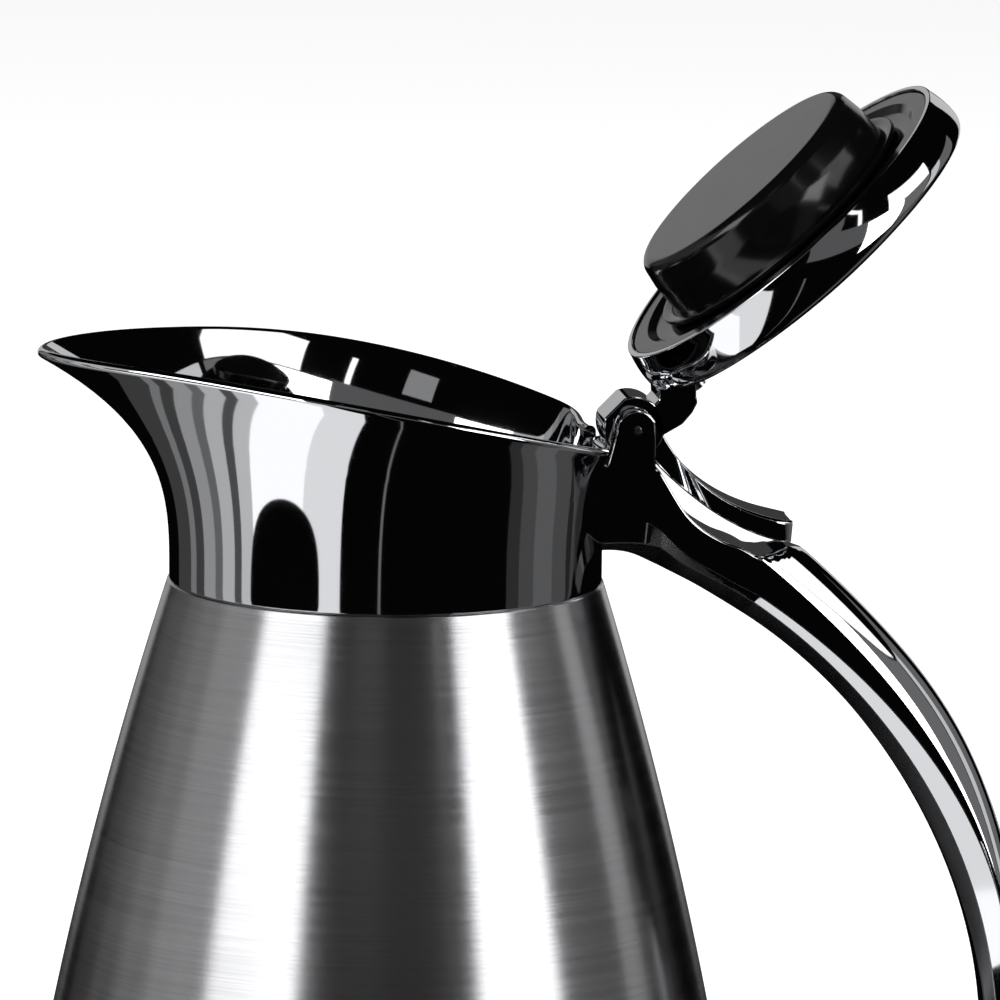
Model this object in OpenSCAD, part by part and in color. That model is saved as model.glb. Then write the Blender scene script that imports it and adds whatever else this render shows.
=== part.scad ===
// Vacuum coffee pot: tapered steel flask, cast spout collar, C-shaped handle
// and a domed lid that opens with a thumb lever.
// The pot's axis is Z, the floor is Z = 0, the spout points to -X and the
// handle to +X. The lid is drawn open, with its lever down on the handle.

/* [Body] */
// Height of the seam between the body and the collar
body_h = 158; // [140:1:180]
// Radius of the outer shell at its foot
foot_r = 77; // [73:0.5:82]
// How far the body's shoulder stands out beyond the collar
shoulder_step = 0.3; // [0.2:0.1:1.5]
// How far the side bulges beyond a straight taper
side_bulge = 3.9; // [1:0.1:6]
// Wall of the steel shells
steel = 0.8; // [0.6:0.1:1.2]
// Vacuum gap between the outer shell and the liner
vacuum_gap = 7; // [5:0.5:9]
// Distance from the collar's outside to the inside of the flask's neck
neck_room = 14.3; // [14.1:0.1:14.5]
// Height of the flask's neck above the seam
mouth_h = 12.2; // [12:0.1:13]
// Height of the outer bottom above the floor
bottom_z = 10; // [8:0.5:14]
// Radius of the vacuum seal under the bottom
getter_r = 8; // [5:0.5:12]

/* [Foot] */
// Thickness of the soft pad that stands on the floor
pad_h = 3; // [2:0.5:5]
// Depth of the grooves in the pad's underside
groove = 0.8; // [0.4:0.1:1.4]
// Thickness of the base cover
cover_t = 2.4; // [1.5:0.1:4]

/* [Collar] */
// Outer radius of the collar at the seam
collar_r = 43.1; // [42.8:0.1:43.3]
// Wall of the collar
collar_wall = 2; // [1.6:0.1:2.2]
// Height of the rim at the back, above the seam
rim_back_h = 28; // [27:0.1:29]
// Height of the rim over the pot's axis, above the seam
rim_mid_h = 39; // [38:0.1:42]
// Height of the rim at the tip of the spout, above the seam
rim_tip_h = 45.2; // [44:0.1:50]
// Reach of the spout from the pot's axis
spout_reach = 69.3; // [64:0.1:76]
// How far the rim beside the lid stands out beyond the collar's foot
rim_side_out = 6.6; // [3:0.1:8]
// How quickly the wall turns outwards towards the rim
flare_power = 3.05; // [2.4:0.05:3.4]
// Half angle of the spout, seen from above
spout_angle = 28; // [24:0.5:34]
// Half angle of the upright stretch of the collar between the handle's ears
back_angle = 13; // [13:0.5:16]
// Thickness of the collar's foot flange
flange_t = 2.4; // [1.8:0.1:3]

/* [Neck ring] */
// Top of the neck ring above the seam
seat_h = 15.4; // [15.2:0.1:15.6]
// How far the neck ring's bore stands inside the flask's neck
seat_in = 0.2; // [0:0.1:0.4]
// Thickness of the neck ring's web
seat_t = 2; // [1.6:0.1:2]
// Wall of the neck ring's skirt
skirt_t = 2.7; // [2:0.1:3]
// Height of the neck ring's lip, on which the lid's seal rests
lip_h = 4.2; // [4:0.1:4.4]
// Wall of that lip
lip_t = 2.4; // [2:0.1:2.6]

/* [Hinge] */
// Distance of the hinge pin from the collar's outside
pin_out = 5.7; // [5.4:0.1:6.6]
// Height of the hinge pin above the seam
pin_h = 30.9; // [30.4:0.1:31.6]
// Radius of the hinge pin
pin_r = 1.7; // [1.4:0.05:2]
// Opening angle of the lid, from closed to the lever resting on the handle
lid_open = 138; // [130:1:140]
// Radius of the round end of each ear
ear_r = 3.9; // [3.6:0.1:4.4]
// Thickness of each ear
ear_t = 3.4; // [2.5:0.1:4]
// Half width of the lever's knuckle
knuckle_w = 6; // [5:0.1:6.4]
// Radius of the lever's knuckle
knuckle_r = 6.2; // [5.8:0.1:6.4]
// Thickness of each hinge bush
bush_t = 0.5; // [0.4:0.1:0.8]
// Running clearance on each side of a bush
bush_gap = 0.05; // [0.03:0.01:0.1]

/* [Lever] */
// Half width of the thumb tongue
tongue_w = 7.8; // [6.5:0.1:8.5]
// Length of the thumb tongue from the pin
tongue_l = 34.2; // [33:0.1:35]

/* [Lid] */
// How much smaller the lid's widest radius is than the collar's
lid_gap = 2.5; // [2.4:0.1:3]
// How much narrower the lid's rim is than its widest place
lid_draft = 1; // [0.5:0.1:1.5]
// Height of the lid's rim above the seam, when closed
lid_seat_h = 20.3; // [20:0.1:20.6]
// Height of the lid's side
lid_side_h = 9.8; // [9:0.1:10.2]
// Rise of the lid's crown above its side
lid_crown = 4.8; // [3:0.1:6]
// Round of the lid's shoulder
lid_round = 2.6; // [1.5:0.1:3.5]
// Wall of the lid's cover
lid_wall = 1.2; // [0.8:0.1:1.6]
// Thickness of the black dish under the lid
dish_t = 3; // [2.5:0.1:3.5]
// Depth of the dish's recess
dish_recess = 1.2; // [0.6:0.1:1.6]
// Gap round the plug in the neck ring
plug_gap = 1.6; // [1.6:0.1:2.4]
// How far the plug stands below the lid's rim
plug_drop = 12; // [11:0.1:12.4]
// Wall of the plug
plug_wall = 2; // [1.4:0.1:2.6]
// Round of the plug's lower edge
plug_round = 3; // [2.4:0.1:3.5]
// Thickness of the edge of the lid's seal
seal_t = 0.8; // [0.6:0.1:1]
// How far the lid's seal covers the neck ring's lip
seal_over = 1.4; // [1:0.1:2]

/* [Handle] */
// Farthest reach of the grip's crease line from the pot's axis
grip_reach = 127.6; // [122:0.2:134]
// Depth below the seam where the grip is farthest out
grip_belly = 98; // [88:1:104]
// Height of the grip's lower end above the floor
grip_foot_z = 23.5; // [22:0.5:34]
// Half width of the grip at the hinge
root_w = 10; // [10:0.1:11]
// Half width of the grip at its lower end
grip_w = 8.6; // [7.5:0.1:9.5]
// Depth of the grip at its belly, from the crease line to the inside
grip_depth = 5.2; // [4.8:0.1:7]
// Height of the rounded back above the crease line, near the lever
back_rise = 7; // [6:0.1:7.4]
// Height of the rounded back above the crease line, lower down
back_low = 4.6; // [3.5:0.1:6]

/* [Fasteners] */
// Shank radius of the screws between collar and handle
screw_r = 2; // [1.5:0.1:2.2]
// Half distance between the screws between collar and handle
screw_y = 4.4; // [4.2:0.1:4.8]
// Height of those screws above the seam
screw_h = 9.5; // [9.3:0.1:9.6]
// Shank radius of the small screws in the lid and the grip's lower end
small_r = 1.3; // [1:0.1:1.5]
// Radius of the boss on the body that carries the grip's lower end
boss_r = 3; // [2.8:0.1:3.3]
// Reach of that boss into the grip
boss_l = 11; // [8:0.5:14]

/* [Hidden] */

shoulder_r = collar_r + shoulder_step;
mouth_r = collar_r - neck_room;
rim_side_r = collar_r + rim_side_out;
seat_r = mouth_r - seat_in;
pin_x = collar_r + pin_out;
lid_r = collar_r - lid_gap;
plug_r = seat_r - plug_gap;
seal_r = seat_r + seal_over;
fit = 0.05;            // clearance between pieces that seat on each other
loose = 0.3;           // clearance round a soft or moulded piece
pin_z = body_h + pin_h;
neck_out_r = mouth_r + 4.2;              // outside of the flask's neck
mouth_z = body_h + mouth_h;
web_z = body_h + seat_h - seat_t;        // underside of the neck ring's web
lip_z = body_h + seat_h + lip_h;         // top of the neck ring's lip
ear_in = knuckle_w + bush_t + 2 * bush_gap;
ear_out = ear_in + ear_t;
notch_w = 2 * ear_in;                    // slot in the collar for the knuckle
slot_h = pin_h - 8.3;                    // floor of the gap between the ears
notch_h = slot_h - 3.5;                  // foot of the collar's slot
chrome = [0.78, 0.79, 0.81];
steel_grey = [0.66, 0.66, 0.67];
black = [0.06, 0.06, 0.065];

// ---------------------------------------------------------------- helpers

function mix(a, b, t) = a + (b - a) * t;
function smooth(t) = let (u = max(0, min(1, t))) u * u * (3 - 2 * u);
function unit(v) = v / norm(v);

// A point of a cubic Bezier curve
function bezier(p, t) = let (u = 1 - t)
    p[0] * u * u * u + p[1] * 3 * u * u * t + p[2] * 3 * u * t * t + p[3] * t * t * t;

// A point of a chain of Bezier curves; t runs from 0 to the number of curves
function chain(curves, t) = let (i = min(len(curves) - 1, floor(t)))
    bezier(curves[i], t - i);

// Triangles between rings of n points each, closed as a ring or with flat ends;
// each end is a fan from the point numbered hub
function ring_faces(rings, n, closed, hub = 0) = concat(
    [for (i = [0 : rings - (closed ? 1 : 2)]) for (j = [0 : n - 1]) for (half = [0, 1])
        let (a = i * n + j,
             b = i * n + (j + 1) % n,
             c = ((i + 1) % rings) * n + (j + 1) % n,
             d = ((i + 1) % rings) * n + j)
        half == 0 ? [a, b, c] : [a, c, d]],
    closed ? [] : [for (j = [1 : n - 2])
        [hub, (hub + j + 1) % n, (hub + j) % n]],
    closed ? [] : [for (j = [1 : n - 2]) let (e = (rings - 1) * n)
        [e + hub, e + (hub + j) % n, e + (hub + j + 1) % n]]);

// ---------------------------------------------------------------- flask

// Outside radius of the body at height z
function side_r(z) = let (t = z / body_h)
    mix(foot_r, shoulder_r, t) + side_bulge * 4 * t * (1 - t);

// The body's solid outline below the seam, moved inwards by inset
module body_outline(inset, z0, z1, steps = 20)
    polygon(concat(
        [[0, z0]],
        [for (i = [0 : steps]) let (z = mix(z0, z1, i / steps)) [side_r(z) - inset, z]],
        [[0, z1]]));

module outer_shell() color(steel_grey) {
    edge = 0.6;   // rounded edge of the shoulder under the collar
    rotate_extrude($fn = 96) difference() {
        union() {
            body_outline(0, pad_h, body_h - edge);
            translate([0, body_h - edge - 0.01]) square([shoulder_r - edge, edge + 0.01]);
            translate([shoulder_r - edge, body_h - edge]) circle(edge, $fn = 24);
            square_neck(neck_out_r, mouth_z - steel);
        }
        body_outline(steel, pad_h - 1, body_h - steel);
        square_neck(neck_out_r - steel, mouth_z + 1);
    }
}

module square_neck(r, top)
    translate([0, body_h - 2]) square([r, top - body_h + 2]);

module inner_liner() color(steel_grey) {
    floor_z = bottom_z + steel + vacuum_gap;
    inset = steel + vacuum_gap;
    bend_z = body_h - 14;      // where the side turns in to the neck
    rotate_extrude($fn = 96) {
        difference() {
            liner_outline(inset, floor_z, bend_z, mouth_r + steel, mouth_z);
            liner_outline(inset + steel, floor_z + steel, bend_z, mouth_r, mouth_z + 1);
        }
        translate([mouth_r, mouth_z - steel]) square([neck_out_r - mouth_r, steel]);
    }
}

module liner_outline(inset, z0, z1, neck, top) {
    corner = 12;      // round at the foot of the side
    steps = 16;
    shoulder = [for (i = [0 : 8])
        bezier([[side_r(z1) - inset, z1],
                [side_r(z1 + 8) - inset, z1 + 8],
                [neck, z1 + 2],
                [neck, z1 + 13]], i / 8)];
    foot = [for (i = [0 : 6]) let (a = -90 + 90 * i / 6)
        [side_r(z0 + corner) - inset - corner + corner * cos(a), z0 + corner + corner * sin(a)]];
    side = [for (i = [1 : steps - 1]) let (z = mix(z0 + corner, z1, i / steps))
        [side_r(z) - inset, z]];
    polygon(concat([[0, z0]], foot, side, shoulder, [[neck, top], [0, top]]));
}

module outer_bottom() color(steel_grey)
    rotate_extrude($fn = 96) {
        dish = 3;      // the middle is pressed upwards by this
        r = side_r(bottom_z + steel) - steel - fit;
        hub = getter_r + 6;
        polygon([[0, bottom_z + dish], [hub, bottom_z + dish], [hub + 8, bottom_z],
                 [r, bottom_z], [r, bottom_z + steel], [hub + 8, bottom_z + steel],
                 [hub, bottom_z + dish + steel], [0, bottom_z + dish + steel]]);
    }

module getter_cap() color(steel_grey)
    translate([0, 0, bottom_z + 1]) cylinder(h = 2, r = getter_r, $fn = 48);

module base_cover() color(black)
    rotate_extrude($fn = 96) {
        r = side_r(pad_h) - steel - loose;
        wall = 2.4;
        polygon([[0, pad_h], [r - 0.6, pad_h], [r - 0.3, pad_h + cover_t],
                 [r - 0.8, bottom_z - fit], [r - 0.8 - wall, bottom_z - fit],
                 [r - 0.8 - wall, pad_h + cover_t], [0, pad_h + cover_t]]);
    }

module base_pad() color(black)
    rotate_extrude($fn = 96) difference() {
        out = side_r(pad_h) - 3;      // set back from the shell's edge
        round = 1;
        polygon([[0, 0], [out - 1.5, 0], [out - 0.5, round], [out, pad_h], [0, pad_h]]);
        for (r = [out / 4 : out / 4 : out - 6])
            translate([r, -1]) square([2, 1 + groove]);
    }

// ---------------------------------------------------------------- collar

// Height of the rim above the seam, over the point x of the axis plane
function rim_h(x) = let (
    xb = collar_r, xt = -spout_reach,
    sb = (rim_back_h - rim_mid_h) / xb, st = (rim_tip_h - rim_mid_h) / xt,
    bend = (sb - st) / (xb - xt), slope = sb - bend * xb)
    rim_mid_h + slope * x + bend * x * x;

// Radius of the rim at the angle a, measured from the handle side: upright
// between the ears, then flared, then drawn out to the spout
back_turn = 26;        // angle over which the flare grows beside the ears
spout_power = 1.7;     // how sharply the spout stands out
function rim_r(a) = let (
    off = abs(180 - a),
    wide = mix(collar_r, rim_side_r, smooth((180 - off - back_angle) / back_turn)))
    mix(wide, spout_reach, exp(-pow(off / spout_angle, spout_power)));

// A point [r, h] of the collar's outside at angle a, t from the seam to the rim
function collar_out(a, t) = let (
    r = rim_r(a), h = rim_h(r * cos(a)))
    [mix(collar_r, r, pow(t, flare_power)), h * t];

// The direction in which the collar's wall climbs there
function collar_dir(a, t) =
    unit(collar_out(a, min(1, t + 0.01)) - collar_out(a, max(0, min(0.99, t - 0.01))));

// The wall's inside, square to its outside
function collar_in(a, t, w) = let (d = collar_dir(a, t))
    collar_out(a, t) + w * [-d[1], d[0]];

// One section through the collar's wall: up the outside, over the rounded lip,
// down the inside and round the foot flange
function collar_section(a) = let (
    side = 12, lip = 5,
    d = collar_dir(a, 1),
    lip_c = collar_in(a, 1, collar_wall / 2),
    t_low = flange_t / collar_out(a, 1)[1])
    concat(
        [for (i = [0 : side]) collar_out(a, i / side)],
        [for (i = [1 : lip - 1]) let (b = 180 * i / lip)
            lip_c + collar_wall / 2 * ([d[1], -d[0]] * cos(b) + d * sin(b))],
        [for (i = [side : -1 : 1]) let (t = mix(t_low, 1, i / side)) collar_in(a, t, collar_wall)],
        [[collar_r - collar_wall, flange_t],
         [neck_out_r + 1, flange_t],
         [neck_out_r + 1, 0]]);

module collar_solid() {
    turns = 72;
    n = len(collar_section(0));
    points = [for (i = [0 : turns - 1]) let (a = 360 * i / turns)
        for (p = collar_section(a)) [p[0] * cos(a), p[0] * sin(a), body_h + p[1]]];
    polyhedron(points, ring_faces(turns, n, true), convexity = 6);
}

module spout_collar() color(chrome)
    difference() {
        collar_solid();
        translate([collar_r - 8, -notch_w / 2, body_h + notch_h])
            cube([16, notch_w, rim_back_h]);
        for (y = [-screw_y, screw_y])
            translate([collar_r - 8, y, body_h + screw_h])
                rotate([0, 90, 0]) cylinder(h = 16, r = screw_r + fit, $fn = 32);
    }

// A web on a skirt, with a lip round the bore
module neck_ring() color(black)
    rotate_extrude($fn = 96) {
        out = collar_r - collar_wall - loose;
        skirt = neck_out_r + loose;
        polygon([[seat_r, web_z], [skirt, web_z], [skirt, body_h + flange_t],
                 [skirt + skirt_t, body_h + flange_t], [skirt + skirt_t, web_z],
                 [out, web_z], [out, web_z + seat_t - 0.4], [out - 0.4, web_z + seat_t],
                 [seat_r + lip_t, web_z + seat_t], [seat_r + lip_t, lip_z - 0.4],
                 [seat_r + lip_t - 0.4, lip_z], [seat_r + 0.6, lip_z], [seat_r, lip_z - 0.6]]);
    }

module neck_gasket() color([0.3, 0.3, 0.3])
    translate([0, 0, mouth_z]) difference() {
        cylinder(h = web_z - mouth_z, r = neck_out_r, $fn = 96);
        translate([0, 0, -1]) cylinder(h = 4, r = mouth_r, $fn = 96);
    }

// ---------------------------------------------------------------- handle

// Points below are [x, height above the seam] in the plane Y = 0
foot_h = grip_foot_z - body_h;
recess_start = [pin_x + 4.9, slot_h];
recess_end = [pin_x + 28.7, pin_h - 29.2];
belly = [grip_reach, -grip_belly];
foot_x = side_r(grip_foot_z) - 6;
inner_start = [collar_r - 3, screw_h - 3.7];

// The crease line between the side and the back of the grip
crease_curves = [
    [[collar_r - 3, slot_h], [pin_x - 2, slot_h], [pin_x + 3, slot_h + 0.4], recess_start],
    [recess_start, recess_start + [9.3, -15.6], recess_end + [-12.8, 11], recess_end],
    [recess_end, recess_end + [37.8, -32.5], belly + [0, 39.7], belly],
    [belly, belly + [0, -28], [foot_x + 37, foot_h - 4.5], [foot_x, foot_h - 4.5]]];

// The inside line of the grip
inner_curves = [
    [inner_start, inner_start + [8, 1], [pin_x + 1, screw_h - 4.8], [pin_x + 5.5, screw_h - 6.9]],
    [[pin_x + 5.5, screw_h - 6.9], [pin_x + 11, screw_h - 9.4],
     recess_end + [-17.3, -1.6], recess_end + [-6.3, -8.6]],
    [recess_end + [-6.3, -8.6], recess_end + [22.6, -26.9],
     belly + [-grip_depth, 36], belly + [-grip_depth, 0]],
    [belly + [-grip_depth, 0], belly + [-grip_depth, -22],
     [foot_x + 32, foot_h + 4.5], [foot_x, foot_h + 4.5]]];

// Height of the rounded back above the crease, and of the floor that cuts it
// off: flat at the hinge, dished under the lever, then sweeping up and out
recess_dish = -0.8;
function back_h(t) = mix(back_rise, back_low, smooth((t - 2.2) / 0.55));
function floor_h(t) =
    t < 1 ? 0
    : t < 1.85 ? recess_dish * smooth((t - 1) * 4) * (1 - smooth((t - 1.6) * 4))
    : 7.2 * pow((t - 1.85) / 0.17, 1.9);

// Share of the depth that the upright side takes, and the sloped side below it
function side_share(t) =
    t < 1 ? mix(0.44, 0.6, t) : mix(0.6, 0.03, smooth((t - 1.75) / 1.05));
function slope_share(t) =
    t < 1.2 ? mix(0.9, 0.77, smooth(t / 1.2)) : mix(0.77, 0.64, smooth((t - 1.2) / 1.5));

// Half widths at the crease, where the slope ends and at the inside
function grip_half(t) = mix(root_w - 0.05, grip_w, smooth(t / 3.5));
function slope_half(t, deep) =
    grip_half(t) - mix(0.4, 0.58, smooth(t - 0.3)) * (slope_share(t) - side_share(t)) * deep;
function inner_half(t, deep) = slope_half(t, deep) - 1.2 * (1 - slope_share(t)) * deep;

// The inside point that lies square across from the crease at t
function inner_point(t) =
    chain(inner_curves, t + (t > 2 && t < 3 ? 0.045 * sin(180 * (t - 2)) : 0));

// One section through the grip, as points [across, out from the crease]
back_steps = [0.95, 0.82, 0.62, 0.4, 0.2, 0];
function grip_section(t) = let (
    w = grip_half(t),
    deep = norm(chain(crease_curves, t) - inner_point(t)),
    s = slope_half(t, deep), v = inner_half(t, deep),
    back = [for (x = back_steps)
        [w * x, min(floor_h(t), back_h(t) * pow(1 - pow(x, 2.4), 0.8))]],
    side = [[s, -slope_share(t) * deep], [w, -side_share(t) * deep]])
    concat([[w, 0]], back, [for (i = [4 : -1 : 0]) [-back[i][0], back[i][1]]],
        [[-w, 0], [-w, side[1][1]], [-s, side[0][1]], [-v, -deep], [v, -deep]], side);

// Where along the chain the sections lie, closer together at the lever's tip
grip_stops = concat(
    [for (t = [0 : 0.25 : 1.5]) t], [1.6, 1.7, 1.8, 1.86, 1.9, 1.93, 1.96, 1.98, 2, 2.02],
    [for (t = [2.1 : 0.1 : 3]) t], [for (t = [3.1 : 0.1 : 4.01]) min(t, 4)]);

module grip() {
    n = len(grip_section(0));
    points = [for (t = grip_stops) let (
            c = chain(crease_curves, t), i = inner_point(t), out = unit(c - i))
        for (p = grip_section(t)) [c[0] + out[0] * p[1], -p[0], body_h + c[1] + out[1] * p[1]]];
    polyhedron(points, ring_faces(len(grip_stops), n, false, hub = 12), convexity = 8);
}

// Outline of an ear in the XZ plane
module ear_outline() {
    translate([pin_x, pin_h]) circle(ear_r, $fn = 48);
    polygon([[collar_r - 1, slot_h - 6], [collar_r - 1, slot_h + 1.5],
             [pin_x - ear_r, pin_h + 0.6], [pin_x + ear_r, pin_h],
             [recess_start[0] - 0.8, slot_h + 0.6], [recess_start[0] + 0.3, slot_h - 1.4],
             [recess_start[0] - 2, slot_h - 6]]);
}

module along_y(y0, y1)
    translate([0, y1, body_h]) rotate([90, 0, 0]) linear_extrude(y1 - y0) children();

module handle() color(chrome)
    difference() {
        union() {
            grip();
            along_y(ear_in, ear_out) ear_outline();
            along_y(-ear_out, -ear_in) ear_outline();
        }
        translate([0, 0, body_h - 5]) cylinder(h = 60, r = collar_r + fit, $fn = 180);
        rotate_extrude($fn = 180) body_outline(-fit, pad_h, body_h - 40);
        translate([pin_x, 20, pin_z]) rotate([90, 0, 0])
            cylinder(h = 40, r = pin_r + 0.01, $fn = 48);
        for (y = [-screw_y, screw_y])
            translate([collar_r - 4, y, body_h + screw_h]) rotate([0, 90, 0])
                cylinder(h = 14.5, r = screw_r + fit, $fn = 32);
        translate([foot_x - 8, 0, grip_foot_z]) rotate([0, 90, 0])
            cylinder(h = boss_l + 14, r = boss_r + fit, $fn = 48);
        translate([foot_x + boss_l, 0, grip_foot_z - 20])
            cylinder(h = 20, r = small_r + fit, $fn = 32);
        translate([foot_x + boss_l, 0, grip_foot_z - 20])
            cylinder(h = 20 - boss_r - 1.5, r = small_r * 2 + fit, $fn = 32);
    }

// A pan-head screw along +Z: the head lies below Z = 0
module screw(r, length) {
    cylinder(h = length, r = r, $fn = 32);
    difference() {
        translate([0, 0, -r * 0.9]) cylinder(h = r * 0.9, r = r * 1.8, $fn = 32);
        for (turn = [0, 90])
            rotate([0, 0, turn]) translate([-r, -r * 0.18, -r * 0.9 - 1])
                cube([2 * r, r * 0.36, 1 + r * 0.4]);
    }
}

module collar_screws() color(steel_grey)
    for (y = [-screw_y, screw_y]) {
        // the head seats on the chord of the collar's inside
        seat = sqrt(pow(collar_r - collar_wall, 2) - pow(abs(y) + screw_r * 1.8, 2)) - fit;
        translate([seat, y, body_h + screw_h]) rotate([0, 90, 0])
            screw(screw_r, collar_r + 10 - seat);
    }

module lower_bracket() color(chrome)
    difference() {
        translate([foot_x - 2, 0, grip_foot_z]) rotate([0, 90, 0])
            cylinder(h = boss_l + 5, r = boss_r, $fn = 48);
        rotate_extrude($fn = 180) body_outline(0, pad_h, body_h / 2);
        translate([foot_x + boss_l, 0, grip_foot_z - 10])
            cylinder(h = 20, r = small_r + fit, $fn = 32);
    }

module lower_screw() color(steel_grey)
    translate([foot_x + boss_l, 0, grip_foot_z - boss_r - 1.5])
        screw(small_r, boss_r * 2);

// ---------------------------------------------------------------- hinge

module hinge_pin() color(chrome)
    translate([pin_x, ear_out, pin_z]) rotate([90, 0, 0])
        cylinder(h = 2 * ear_out, r = pin_r, $fn = 48);

module hinge_bushes() color([0.85, 0.85, 0.82])
    for (side = [-1, 1])
        translate([pin_x, side * (knuckle_w + bush_gap + bush_t / 2) + bush_t / 2, pin_z])
            rotate([90, 0, 0]) difference() {
                cylinder(h = bush_t, r = ear_r - 0.6, $fn = 48);
                translate([0, 0, -1]) cylinder(h = bush_t + 2, r = pin_r + 0.03, $fn = 48);
            }

// Moves a piece from the closed lid to the open one, about the hinge pin
module opened()
    translate([pin_x, 0, pin_z]) rotate([0, lid_open, 0]) translate([-pin_x, 0, -pin_z])
        children();

// The tongue's side view in the open lid, from the pin: upper and lower curve
tongue_tip = [tongue_l, -21.5];
tongue_top = [[3.6, 4], [7.5, -7.2], [16, -16.6], tongue_tip + [-2, 2.5]];
tongue_low = [tongue_tip + [-2.3, -2], [22.4, -22.4], [11.2, -15], [3, -5.8]];

module tongue_side()
    polygon(concat(
        [for (i = [0 : 16]) bezier(tongue_top, i / 16)],
        [tongue_tip],
        [for (i = [0 : 16]) bezier(tongue_low, i / 16)]));

// Seen from above: narrow between the ears, wider under the thumb
module tongue_plan() {
    neck = 9;
    polygon([[0, -knuckle_w], [neck, -knuckle_w], [neck + 5, -tongue_w],
             [tongue_l - 4, -tongue_w], [tongue_l - 1.4, -tongue_w + 1.2],
             [tongue_l, -tongue_w + 4], [tongue_l + 0.6, 0], [tongue_l, tongue_w - 4],
             [tongue_l - 1.4, tongue_w - 1.2], [tongue_l - 4, tongue_w],
             [neck + 5, tongue_w], [neck, knuckle_w], [0, knuckle_w]]);
}

// The arm's side view in the closed lid, from the pin
module arm_side()
    polygon([[-2.6, knuckle_r - 1.2], [-7.6, knuckle_r - 0.1], [-10.6, knuckle_r - 0.5],
             [-12.7, knuckle_r - 1.3], [-13.4, knuckle_r - 2.5], [-15.6, 1.2], [-17, -2],
             [-14, -9.3], [-10, -9.3], [-9.2, -7.2], [-8.6, -4], [-8.4, -2.2],
             [-7.4, -0.9], [-4, -0.6], [-2.6, -0.4]]);

// The knuckle is round, with a flat at its back
module knuckle_side()
    difference() {
        circle(knuckle_r, $fn = 64);
        rotate(135) translate([knuckle_r - 0.6, -knuckle_r])
            square([knuckle_r, 2 * knuckle_r]);
    }

module thumb_lever() color(chrome)
    difference() {
        union() {
            translate([pin_x, knuckle_w, pin_z]) rotate([90, 0, 0])
                linear_extrude(2 * knuckle_w) knuckle_side();
            intersection() {
                translate([pin_x, tongue_w, pin_z]) rotate([90, 0, 0])
                    linear_extrude(2 * tongue_w) tongue_side();
                translate([pin_x, 0, pin_z - 40]) linear_extrude(60) tongue_plan();
            }
            difference() {
                opened() translate([pin_x, knuckle_w, pin_z]) rotate([90, 0, 0])
                    linear_extrude(2 * knuckle_w) arm_side();
                opened() translate([0, 0, body_h + lid_seat_h])
                    rotate_extrude($fn = 180) lid_outline(-fit);
            }
        }
        translate([pin_x, 20, pin_z]) rotate([90, 0, 0])
            cylinder(h = 40, r = pin_r + 0.04, $fn = 48);
        opened() lid_screw_holes(fit);
    }

// ---------------------------------------------------------------- lid

// The cover's outline above its rim, moved inwards by inset: a slightly tapered
// side, a rounded shoulder and a shallow crown
module lid_outline(inset) {
    top = lid_side_h - inset;
    r = lid_r - inset;
    round = max(0.4, lid_round - max(0, inset));
    crown_r = r - round;
    polygon(concat(
        [[0, 0], [r - lid_draft, 0], [r - lid_draft * 0.3, lid_side_h * 0.3],
         [r, lid_side_h * 0.55]],
        [for (i = [0 : 6]) let (a = 75 * i / 6)
            [crown_r + round * cos(a), top - round + round * sin(a)]],
        [for (i = [6 : -1 : 0]) let (x = (crown_r + round * cos(75)) * i / 7)
            [x, top + lid_crown * (1 - pow(x / crown_r, 2))]]));
}

module lid_dome() color(chrome)
    opened() translate([0, 0, body_h + lid_seat_h]) difference() {
        rotate_extrude($fn = 96) difference() {
            lid_outline(0);
            translate([0, -1]) square([lid_r - lid_draft - lid_wall, 2]);
            lid_outline(lid_wall);
        }
        translate([0, 0, -body_h - lid_seat_h]) lid_screw_holes(fit);
    }

dish_r = lid_r - lid_draft - lid_wall - 0.1;   // the dish fits inside the cover

module lid_dish() color(black)
    opened() translate([0, 0, body_h + lid_seat_h]) rotate_extrude($fn = 96) {
        land = 3.4;
        low = 0.4;
        polygon([[plug_r + fit, dish_t + low], [plug_r + fit, dish_recess + low],
                 [dish_r - land - 1, dish_recess + low], [dish_r - land, low],
                 [dish_r - 0.5, low], [dish_r, low + 0.5], [dish_r, dish_t + low]]);
    }

module lid_plug() color(black)
    opened() translate([0, 0, body_h + lid_seat_h]) rotate_extrude($fn = 96) {
        top = dish_t + 0.4;
        lip = 4;      // flange that hangs the plug in the dish
        inner = plug_r - plug_wall;
        polygon(concat(
            [[0, plug_wall - plug_drop], [0, -plug_drop]],
            [for (i = [0 : 6]) let (a = -90 + 90 * i / 6)
                [plug_r - plug_round + plug_round * cos(a),
                 plug_round - plug_drop + plug_round * sin(a)]],
            [[plug_r, top], [plug_r + lip, top], [plug_r + lip, top + plug_wall],
             [inner, top + plug_wall], [inner, plug_wall - plug_drop]]));
    }

module plug_foam() color([0.9, 0.88, 0.8])
    opened() translate([0, 0, body_h + lid_seat_h - plug_drop + plug_wall + fit])
        cylinder(h = plug_drop + dish_t, r = plug_r - plug_wall - loose, $fn = 64);

module lid_seal() color([0.1, 0.1, 0.1])
    opened() translate([0, 0, body_h]) rotate_extrude($fn = 96) {
        low = seat_h + lip_h + loose;
        top = lid_seat_h + 0.4 + dish_recess - fit;
        polygon([[plug_r + fit, low], [seal_r, low], [seal_r, low + seal_t],
                 [seal_r - 0.8, top], [plug_r + fit, top]]);
    }

// Two screws run from inside the cover into the lid arm
lid_screw_x = lid_r - 7.2;
lid_screw_y = 3.4;

module lid_screw_axes()
    for (y = [-lid_screw_y, lid_screw_y])
        translate([lid_screw_x, y, body_h + lid_seat_h]) children();

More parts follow.
